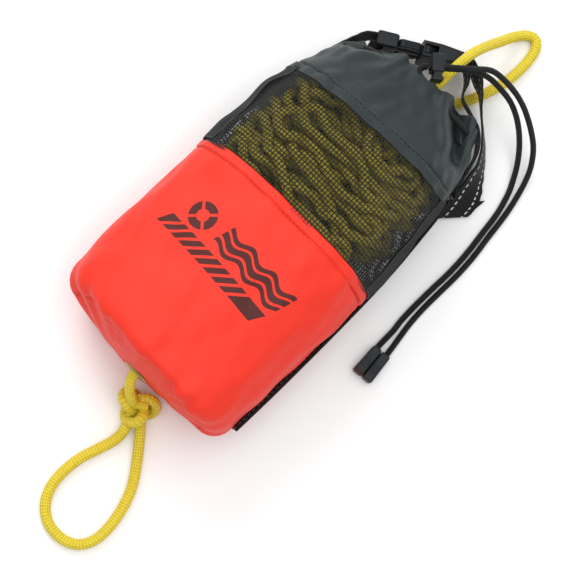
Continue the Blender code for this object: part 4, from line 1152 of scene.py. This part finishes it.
def at_mouth(x, y, z):
    return AT_MOUTH + Vector((x, y, z))


def beside_buckle(x, y):
    return BUCKLE_FRAME @ Vector((x, y, 0))


def round_bar(bar_x, way):
    turn = []
    for k in range(7):
        angle = math.pi * k / 6
        spot = Vector((bar_x - way * math.sin(angle) * (BAR_TURN + 0.0006), -math.cos(angle) * BAR_TURN, 0))
        turn.append((BUCKLE_FRAME @ spot, (0, 0, 1)))
    return turn


def side_spot(y, height):
    """A point on the bag's right side at a height, with the directions up along it and out."""
    ring, _ = round_the_bag(y, np.linspace(0.05, 0.45, 161))
    k = int(np.clip(np.searchsorted(ring[:, 2], height), 1, 160))
    a, b = Vector(ring[k - 1]), Vector(ring[k])
    side_up = (b - a).normalized()
    t = (height - a.z) / (b.z - a.z)
    return a.lerp(b, t), side_up, Vector((side_up.z, 0, -side_up.x)).normalized()


side_top, side_up, side_out = side_spot(SEAM_Y + 0.0095, SIDE_HEIGHT - 0.003)
inner_layer = [
    (side_top + side_out * 0.0030, side_up),
    (at_mouth(SIDE - 0.0060, -0.0270, 0.0215), (0.0, 0.0, 1.0)),
    (at_mouth(SIDE - 0.0085, -0.0140, 0.0195), (-0.02, -0.02, 1.0)),
    (at_mouth(SIDE - 0.0120, -0.0015, 0.0185), (-0.05, -0.05, 1.0)),
    (at_mouth(0.0455, 0.0078, 0.0195), (-0.03, -0.10, 1.0)),
    (at_mouth(0.0350, 0.0122, 0.0210), (-0.05, -0.20, 1.0)),
    (at_mouth(0.0250, 0.0155, 0.0215), (-0.05, -0.20, 1.0)),
    (at_mouth(0.0202, 0.0248, 0.0190), (0.0, -0.08, 1.0)),
]
outer_layer = [
    (at_mouth(0.0240, 0.0308, 0.0190), (0.0, 0.05, 1.0)),
    (at_mouth(0.0312, 0.0256, 0.0205), (-0.08, -0.08, 1.0)),
    (at_mouth(0.0385, 0.0182, 0.0210), (-0.12, -0.15, 1.0)),
    (at_mouth(0.0462, 0.0115, 0.0205), (-0.16, -0.18, 1.0)),
    (at_mouth(SIDE - 0.0115, 0.0040, 0.0190), (-0.20, -0.20, 0.97)),
    (at_mouth(SIDE - 0.0045, -0.0050, 0.0168), (-0.28, -0.24, 0.93)),
    (at_mouth(SIDE - 0.0010, -0.0130, 0.0142), (-0.45, -0.42, 0.80)),
    (at_mouth(SIDE + 0.0020, -0.0200, 0.0106), (-0.60, -0.58, 0.55)),
    (at_mouth(SIDE + 0.0044, -0.0270, 0.0070), (-0.66, -0.68, 0.30)),
    (at_mouth(SIDE + 0.0052, -0.0345, 0.0042), (-0.66, -0.75, 0.06)),
]
fold_under = [
    (at_mouth(SIDE + 0.0049, -0.0361, 0.0030), (-0.66, -0.75, 0.0)),
    (at_mouth(SIDE + 0.0049, -0.0347, 0.0014), (-0.66, -0.75, 0.0)),
    (at_mouth(SIDE + 0.0053, -0.0280, 0.0010), (-0.66, -0.75, 0.0)),
    (at_mouth(SIDE + 0.0059, -0.0215, 0.0010), (-0.66, -0.75, 0.0)),
]
bar_x = SOCKET_END - BUCKLE_BAR / 2
long_strap, long_length = strap(
    "long_strap",
    inner_layer + [(beside_buckle(bar_x + 0.004, -BAR_TURN), (0, 0, 1))] + round_bar(bar_x, 1)
    + [(beside_buckle(bar_x + 0.004, BAR_TURN), (0, 0, 1))] + outer_layer + fold_under,
    REFLECTIVE,
)
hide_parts("strap_long")

bar_x = PLUG_START + BUCKLE_BAR / 2
beside_collar = [
    (at_mouth(-0.0432, 0.0014, 0.0158), (-0.10, 0.0, 1.0)),
    (at_mouth(-0.0436, -0.0026, 0.0156), (-0.25, 0.0, 0.97)),
    (at_mouth(-0.0443, -0.0076, 0.0154), (-0.38, 0.0, 0.92)),
    (at_mouth(-0.0457, -0.0136, 0.0152), (-0.46, 0.0, 0.89)),
    (at_mouth(-0.0472, -0.0200, 0.0150), (-0.50, 0.0, 0.87)),
]
short_route = (
    [(beside_buckle(bar_x - 0.0040, -BAR_TURN), (0, 0, 1))] + round_bar(bar_x, -1)
    + [(beside_buckle(bar_x - 0.0040, BAR_TURN), (0, 0, 1))] + beside_collar
)
short_strap, short_length = strap("short_strap", short_route, PLAIN_WEBBING, body=None)
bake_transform(short_strap)
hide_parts("strap_short")

side_route = []
for y in np.linspace(BASE_Y + BASE_ROUND_SIDE, SEAM_Y + 0.006, 13):
    spot, side_up, side_out = side_spot(y, SIDE_HEIGHT)
    side_route.append((spot + side_out * (WEBBING_THICKNESS / 2 + 0.0005), side_up))
side_strap, side_length = strap("side_strap", side_route, REFLECTIVE)
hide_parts("side_webbing")
print("straps", [round(v * 1000) for v in (long_length, short_length, side_length)], "mm")

# %% [markdown]
# ## Drawcord
# The drawcord runs round inside the hem, out at the front, through the cord lock one strand
# over the other, and down to the moulded end on the floor. It is thinner and duller than the
# rope, with a fine plait.

# %% Drawcord
LOCK_TURN = math.radians(42)
HEM_MIDDLE = MOUTH_Y - HEM_WIDTH / 2
hem_ring, _ = round_the_bag(HEM_MIDDLE, np.linspace(0.5, 1.5, 97) % 1.0, HEM_THICKNESS / 2)
hem_middle_x = along(HEM_MIDDLE, 2)
hem_line = [
    p for p in hem_ring if abs(p[0] - hem_middle_x) > HEM_SLOT / 2 or p[2] < BODY_DEPTH * 0.4
]
if hem_line[0][0] > hem_line[-1][0]:
    hem_line = hem_line[::-1]
HEM_Z = max(p[2] for p in hem_line)
LOCK = AT_MOUTH + Vector((0.0015, 0.0098, HEM_Z))
LOCK_FRAME = Matrix.Translation(LOCK) @ Matrix.Rotation(LOCK_TURN, 4, "Z")
ALONG = LOCK_FRAME.to_3x3() @ Vector((1, 0, 0))
STRAND = DRAWCORD / 2 + GAP / 2
UP = Vector((0, 0, STRAND))
LOCK_HALF = 0.0040
entry = LOCK - ALONG * (LOCK_HALF + 0.0018)
STRAIGHT = 0.0160
print("hem height", round(HEM_Z, 5))

left_end = [
    AT_MOUTH + Vector((-0.0042, -0.0062, HEM_Z - 0.0003)),
    AT_MOUTH + Vector((-0.0034, -0.0025, HEM_Z - 0.0012)),
    AT_MOUTH + Vector((-0.0046, 0.0015, HEM_Z - 0.0018)),
]
right_end = [
    AT_MOUTH + Vector((0.0080, -0.0052, HEM_Z + 0.0001)),
    AT_MOUTH + Vector((0.0020, -0.0045, HEM_Z + 0.0008)),
    AT_MOUTH + Vector((-0.0030, -0.0015, HEM_Z + 0.0016)),
    AT_MOUTH + Vector((-0.0050, 0.0020, HEM_Z + 0.0018)),
]
hem_route = (
    [entry - UP, entry - UP - ALONG * 0.0020] + left_end[::-1] + [Vector(p) for p in hem_line[::2]]
    + right_end + [entry + UP - ALONG * 0.0020, entry + UP]
)
hem_path = smooth_path(hem_route, 0.0016)


def drawcord_finish(name, long):
    return braid(name, CORD_LIGHT, CORD_DARK, long, 12, 0.0105, 0.55, 0.0005)


hem_cord = cord_curve(
    "hem_cord", hem_path, DRAWCORD, drawcord_finish("hem_cord_braid", length_of(hem_path)), sides=4
)
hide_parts("drawcord_hem")

END_LENGTH, END_WIDTH, END_HEIGHT = 0.020, 0.0136, 0.0088
END_BORE_X, END_BORE_DEPTH = END_WIDTH / 4 + 0.0001, 0.0070
CORD_END = AT_MOUTH + Vector((SIDE + 0.0327, -0.1350, END_HEIGHT / 2 + 0.0002))
CORD_END_FRAME = Matrix.Translation(CORD_END) @ Matrix.Rotation(math.radians(5), 4, "Z")
CORD_ON_GROUND = DRAWCORD / 2 + 0.0002
left_tail = [
    (0.0266, 0.0296, 0.0432), (0.0362, 0.0312, 0.0392), (0.0460, 0.0314, 0.0345),
    (0.0540, 0.0298, 0.0290), (0.0605, 0.0274, 0.0230), (0.0665, 0.0242, 0.0165),
]
left_tail += [(SIDE + x, y, z) for x, y, z in (
    (0.0059, 0.0200, 0.0110), (0.0109, 0.0146, 0.0065), (0.0150, 0.0085, 0.0032),
    (0.0188, 0.0010, CORD_ON_GROUND), (0.0213, -0.0068, CORD_ON_GROUND),
    (0.0233, -0.0155, CORD_ON_GROUND), (0.0251, -0.0300, CORD_ON_GROUND),
    (0.0265, -0.0410, CORD_ON_GROUND), (0.0273, -0.0505, CORD_ON_GROUND),
    (0.0276, -0.0620, CORD_ON_GROUND), (0.0272, -0.0735, CORD_ON_GROUND),
    (0.0269, -0.0850, CORD_ON_GROUND), (0.0269, -0.0950, CORD_ON_GROUND),
    (0.0272, -0.1035, CORD_ON_GROUND), (0.0280, -0.1108, 0.0026),
)]
right_tail = [
    (0.0258, 0.0326, 0.0480), (0.0358, 0.0350, 0.0446), (0.0460, 0.0356, 0.0396),
    (0.0544, 0.0348, 0.0342), (0.0620, 0.0328, 0.0288), (0.0686, 0.0304, 0.0235),
]
right_tail += [(SIDE + x, y, z) for x, y, z in (
    (0.0088, 0.0274, 0.0180), (0.0142, 0.0232, 0.0120), (0.0188, 0.0174, 0.0070),
    (0.0220, 0.0104, 0.0036), (0.0243, 0.0028, CORD_ON_GROUND),
    (0.0262, -0.0055, CORD_ON_GROUND), (0.0277, -0.0145, CORD_ON_GROUND),
    (0.0295, -0.0300, CORD_ON_GROUND), (0.0310, -0.0410, CORD_ON_GROUND),
    (0.0318, -0.0505, CORD_ON_GROUND), (0.0321, -0.0620, CORD_ON_GROUND),
    (0.0318, -0.0735, CORD_ON_GROUND), (0.0316, -0.0850, CORD_ON_GROUND),
    (0.0318, -0.0950, CORD_ON_GROUND), (0.0325, -0.1035, CORD_ON_GROUND),
    (0.0335, -0.1108, 0.0028),
)]

# %% [markdown]
# ## Moulded plastic
# The buckle, cord lock and cord end are injection moulded. Their shapes already exist as
# exact solids with sharp corners. A copy of each is cleaned of its triangles and given soft
# rounded edges, the way a mould leaves them, and then small details are added.

# %% Plastic finish and rounded copies
# how scuffed a place is, from 0 to 1
SCUFFS, n, given, result = shared_group("handling_scuffs", ("Amount",), "Scuffs")
large, small = n.noise(140.0, 4.0), n.noise(2600.0, 2.0)
scuffed = n.math("MULTIPLY_ADD", large, 0.7, n.math("MULTIPLY", small, 0.4))
n.link(n.math("MULTIPLY", scuffed, given["Amount"]), result)


def moulded(name, colour, light, roughness):
    finish = new_finish(name, colour, roughness)
    n = Nodes(finish)
    n.shader.inputs["Specular IOR Level"].default_value = 0.2
    worn = n.group(SCUFFS, Amount=1.0)
    n.link(n.mix(n.math("MULTIPLY", worn, 0.8), colour, light), n.shader.inputs["Base Color"])
    n.link(n.math("MULTIPLY_ADD", worn, 0.30, roughness - 0.12), n.shader.inputs["Roughness"])
    n.bump(n.noise(3200.0, 2.0), 0.12, 0.0003)
    return finish


BUCKLE_PLASTIC = moulded("buckle_plastic", (0.006, 0.008, 0.010), (0.014, 0.017, 0.020), 0.36)
LOCK_PLASTIC = moulded("lock_plastic", (0.006, 0.008, 0.010), (0.018, 0.021, 0.024), 0.40)
END_PLASTIC = moulded("end_plastic", (0.010, 0.012, 0.015), (0.024, 0.028, 0.032), 0.42)
END_RED = moulded("end_red", (0.070, 0.006, 0.005), (0.10, 0.010, 0.008), 0.45)


def rounded_copy(name, node, width, finish, body, shape_it=None):
    """A copy of a solid with rounded edges, which stands for it."""
    shape = bmesh.new()
    shape.from_mesh(bpy.data.objects[node].data)
    bmesh.ops.remove_doubles(shape, verts=shape.verts, dist=1e-6)
    bmesh.ops.dissolve_limit(
        shape, angle_limit=math.radians(4), use_dissolve_boundaries=False, verts=shape.verts,
        edges=shape.edges, delimit=set(),
    )
    if shape_it is not None:
        shape_it(shape)
    mesh = bpy.data.meshes.new(name)
    shape.to_mesh(mesh)
    shape.free()
    piece = add_piece(name, mesh, finish, body)
    soft = piece.modifiers.new("soft_edges", "BEVEL")
    soft.width, soft.segments, soft.limit_method = width, 3, "ANGLE"
    soft.angle_limit = math.radians(35)
    soft.use_clamp_overlap = True
    fair = piece.modifiers.new("fair", "WEIGHTED_NORMAL")
    fair.keep_sharp = True
    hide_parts(node)
    return piece


def bars(name, spots, size, frame, finish, body, rounding=0.0002):
    """Small raised bars in a moulding: their centres, and one size for all."""
    shape = bmesh.new()
    for spot in spots:
        fit = frame @ Matrix.Translation(spot) @ Matrix.Diagonal((*size, 1))
        made = bmesh.ops.create_cube(shape, size=1.0, matrix=fit)
        edges = {e for v in made["verts"] for e in v.link_edges}
        bmesh.ops.bevel(
            shape, geom=list(edges), offset=rounding, segments=2, profile=0.5, affect="EDGES", material=-1
        )
    mesh = bpy.data.meshes.new(name)
    shape.to_mesh(mesh)
    shape.free()
    piece = add_piece(name, mesh, finish, body)
    return piece


def slim_ends(shape):
    """Draw the socket in towards its strap end, past its seam line."""
    back = BUCKLE_FRAME.inverted()
    bmesh.ops.bisect_plane(
        shape, geom=shape.verts[:] + shape.edges[:] + shape.faces[:], dist=1e-6,
        plane_co=BUCKLE_FRAME @ Vector((0.0120, 0, 0)), plane_no=BUCKLE_FRAME.to_3x3() @ Vector((1, 0, 0)),
    )
    for v in shape.verts:
        spot = back @ v.co
        share = max((spot.x - 0.0120) / 0.0150, 0.0)
        if abs(spot.y) > 0.0030:
            spot.y *= 1 - 0.30 * share
        spot.z *= 1 - 0.05 * share
        v.co = BUCKLE_FRAME @ spot


# %% Buckle
HALF_THICK = BUCKLE_THICKNESS / 2
rounded_copy("buckle_socket_shell", "buckle_socket", 0.0007, BUCKLE_PLASTIC, "bag", slim_ends)
rounded_copy("buckle_plug_body", "buckle_plug", 0.0007, BUCKLE_PLASTIC, "plug")
for word, side in (("upper", 1), ("lower", -1)):
    node = "buckle_arm_" + word
    rounded_copy("arm_" + word, node, 0.00035, BUCKLE_PLASTIC, word + "_arm")
    ribs = [Vector((-0.0066, y, side * 0.0126)) for y in (-0.0016, -0.0005, 0.0006, 0.0017)]
    bars("grip_ribs_" + word, ribs, (0.0090, 0.0005, 0.0007), BUCKLE_FRAME, BUCKLE_PLASTIC, word + "_arm")
bars(
    "socket_rims",
    [Vector((x, y, 0.0)) for x in (0.0009, 0.0112) for y in (-HALF_THICK, HALF_THICK)],
    (0.0009, 0.0006, BUCKLE_WIDTH * 0.84), BUCKLE_FRAME, BUCKLE_PLASTIC, "bag",
)

# %% Cord lock
rounded_copy("lock_barrel", "cord_lock_barrel", 0.0004, LOCK_PLASTIC, "cord_lock")
rounded_copy("lock_plunger", "cord_lock_plunger", 0.0004, LOCK_PLASTIC, "lock_button")

# %% [markdown]
# ## Cord end
# The two halves of the cord end snap round the tails. Each gets a waist of thin grip ridges,
# and the left half has a dark red rim round its foot.

# %% Cord end
def taper(shape):
    """Draw a half in towards the tails, and down a little."""
    back = CORD_END_FRAME.inverted()
    for v in shape.verts:
        spot = back @ v.co
        share = min(max((spot.y + 0.002) / 0.012, 0.0), 1.0)
        if abs(spot.x) > END_WIDTH / 2 - 0.0015:
            spot.x *= 1 - 0.10 * share
        if spot.z > END_HEIGHT / 2 - 0.0015:
            spot.z *= 1 - 0.12 * share
        v.co = CORD_END_FRAME @ spot


for side, word in ((-1, "left"), (1, "right")):
    rounded_copy("end_half_" + word, "cord_end_" + word, 0.0006, END_PLASTIC, "bag", taper)
    top, middle = END_HEIGHT / 2 - 0.0001, side * END_WIDTH / 4
    bars(
        "end_ridges_" + word, [Vector((middle, y, top)) for y in (-0.004, -0.0018, 0.0004)],
        (END_WIDTH / 2 - 0.0022, 0.0009, 0.0008), CORD_END_FRAME, END_PLASTIC, "bag",
    )
bars(
    "end_rim", [Vector((-END_WIDTH / 4 - 0.0001, -END_LENGTH / 2 + 0.0014, 0.0))],
    (END_WIDTH / 2 - 0.0002, 0.0013, END_HEIGHT + 0.0003), CORD_END_FRAME, END_RED, "bag", 0.0004,
)

for side, word, route, level in ((-1, "left", left_tail, -1), (1, "right", right_tail, 1)):
    start = LOCK + UP * level - ALONG * (LOCK_HALF + 0.0005)
    lead = [start + ALONG * s for s in (0.0, 0.006, 0.012, LOCK_HALF * 2 + STRAIGHT)]
    bottom = CORD_END_FRAME @ Vector((side * END_BORE_X, END_LENGTH / 2 - END_BORE_DEPTH + GAP, -0.0012))
    into = CORD_END_FRAME @ Vector((side * END_BORE_X, END_LENGTH / 2 + 0.002, -0.0012))
    path = smooth_path(lead + [AT_MOUTH + Vector(p) for p in route] + [into, bottom], 0.0014)
    long = length_of(path)
    finish = drawcord_finish("drawcord_braid_" + word, long)
    tail = cord_curve("drawcord_" + word, path, DRAWCORD, finish, sides=5)
    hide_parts("drawcord_tail_" + word)
    print("drawcord", word, round(long * 1000), "mm")

# %% [markdown]
# ## Metal and foam
# The grommet and its washer keep their solid shapes and get brass with a soft tarnish. The
# spring is bright steel. The foam disc inside is closed-cell foam, with tiny pits.

# %% Metal and foam
def dress(node, finish):
    part = bpy.data.objects[node]
    part.data.materials.clear()
    part.data.materials.append(finish)


def metal(name, colour, dull, roughness):
    finish = new_finish(name, colour, roughness, 1.0)
    n = Nodes(finish)
    worn = n.group(SCUFFS, Amount=1.0)
    n.link(n.mix(worn, colour, dull), n.shader.inputs["Base Color"])
    n.link(n.math("MULTIPLY_ADD", worn, 0.35, roughness - 0.1), n.shader.inputs["Roughness"])
    n.bump(n.noise(900.0, 3.0), 0.08, 0.0003)
    return finish


TARNISHED_BRASS = metal("tarnished_brass", (0.62, 0.42, 0.16), (0.30, 0.18, 0.07), 0.32)
dress("base_grommet", TARNISHED_BRASS)
dress("grommet_washer", TARNISHED_BRASS)
dress("cord_lock_spring", metal("bright_steel", (0.60, 0.60, 0.61), (0.34, 0.34, 0.35), 0.28))

foam_finish = new_finish("closed_foam", (0.20, 0.20, 0.21), 0.85)
n = Nodes(foam_finish)
pits = n.node("ShaderNodeTexVoronoi")
pits.inputs["Scale"].default_value = 900.0
n.link(n.place(), pits.inputs["Vector"])
n.link(n.mix(pits.outputs["Distance"], (0.11, 0.11, 0.12), (0.26, 0.26, 0.27)), n.shader.inputs["Base Color"])
n.bump(pits.outputs["Distance"], 0.6, 0.0005)


def shrink(shape):
    """Keep the foam clear of the waves in the cloth round it."""
    middle = Vector([(a + b) / 2 for a, b in zip(*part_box("float_foam"))])
    for v in shape.verts:
        v.co = middle + (v.co - middle) * 0.965


foam = rounded_copy("foam_disc", "float_foam", 0.0012, foam_finish, "bag", shrink)
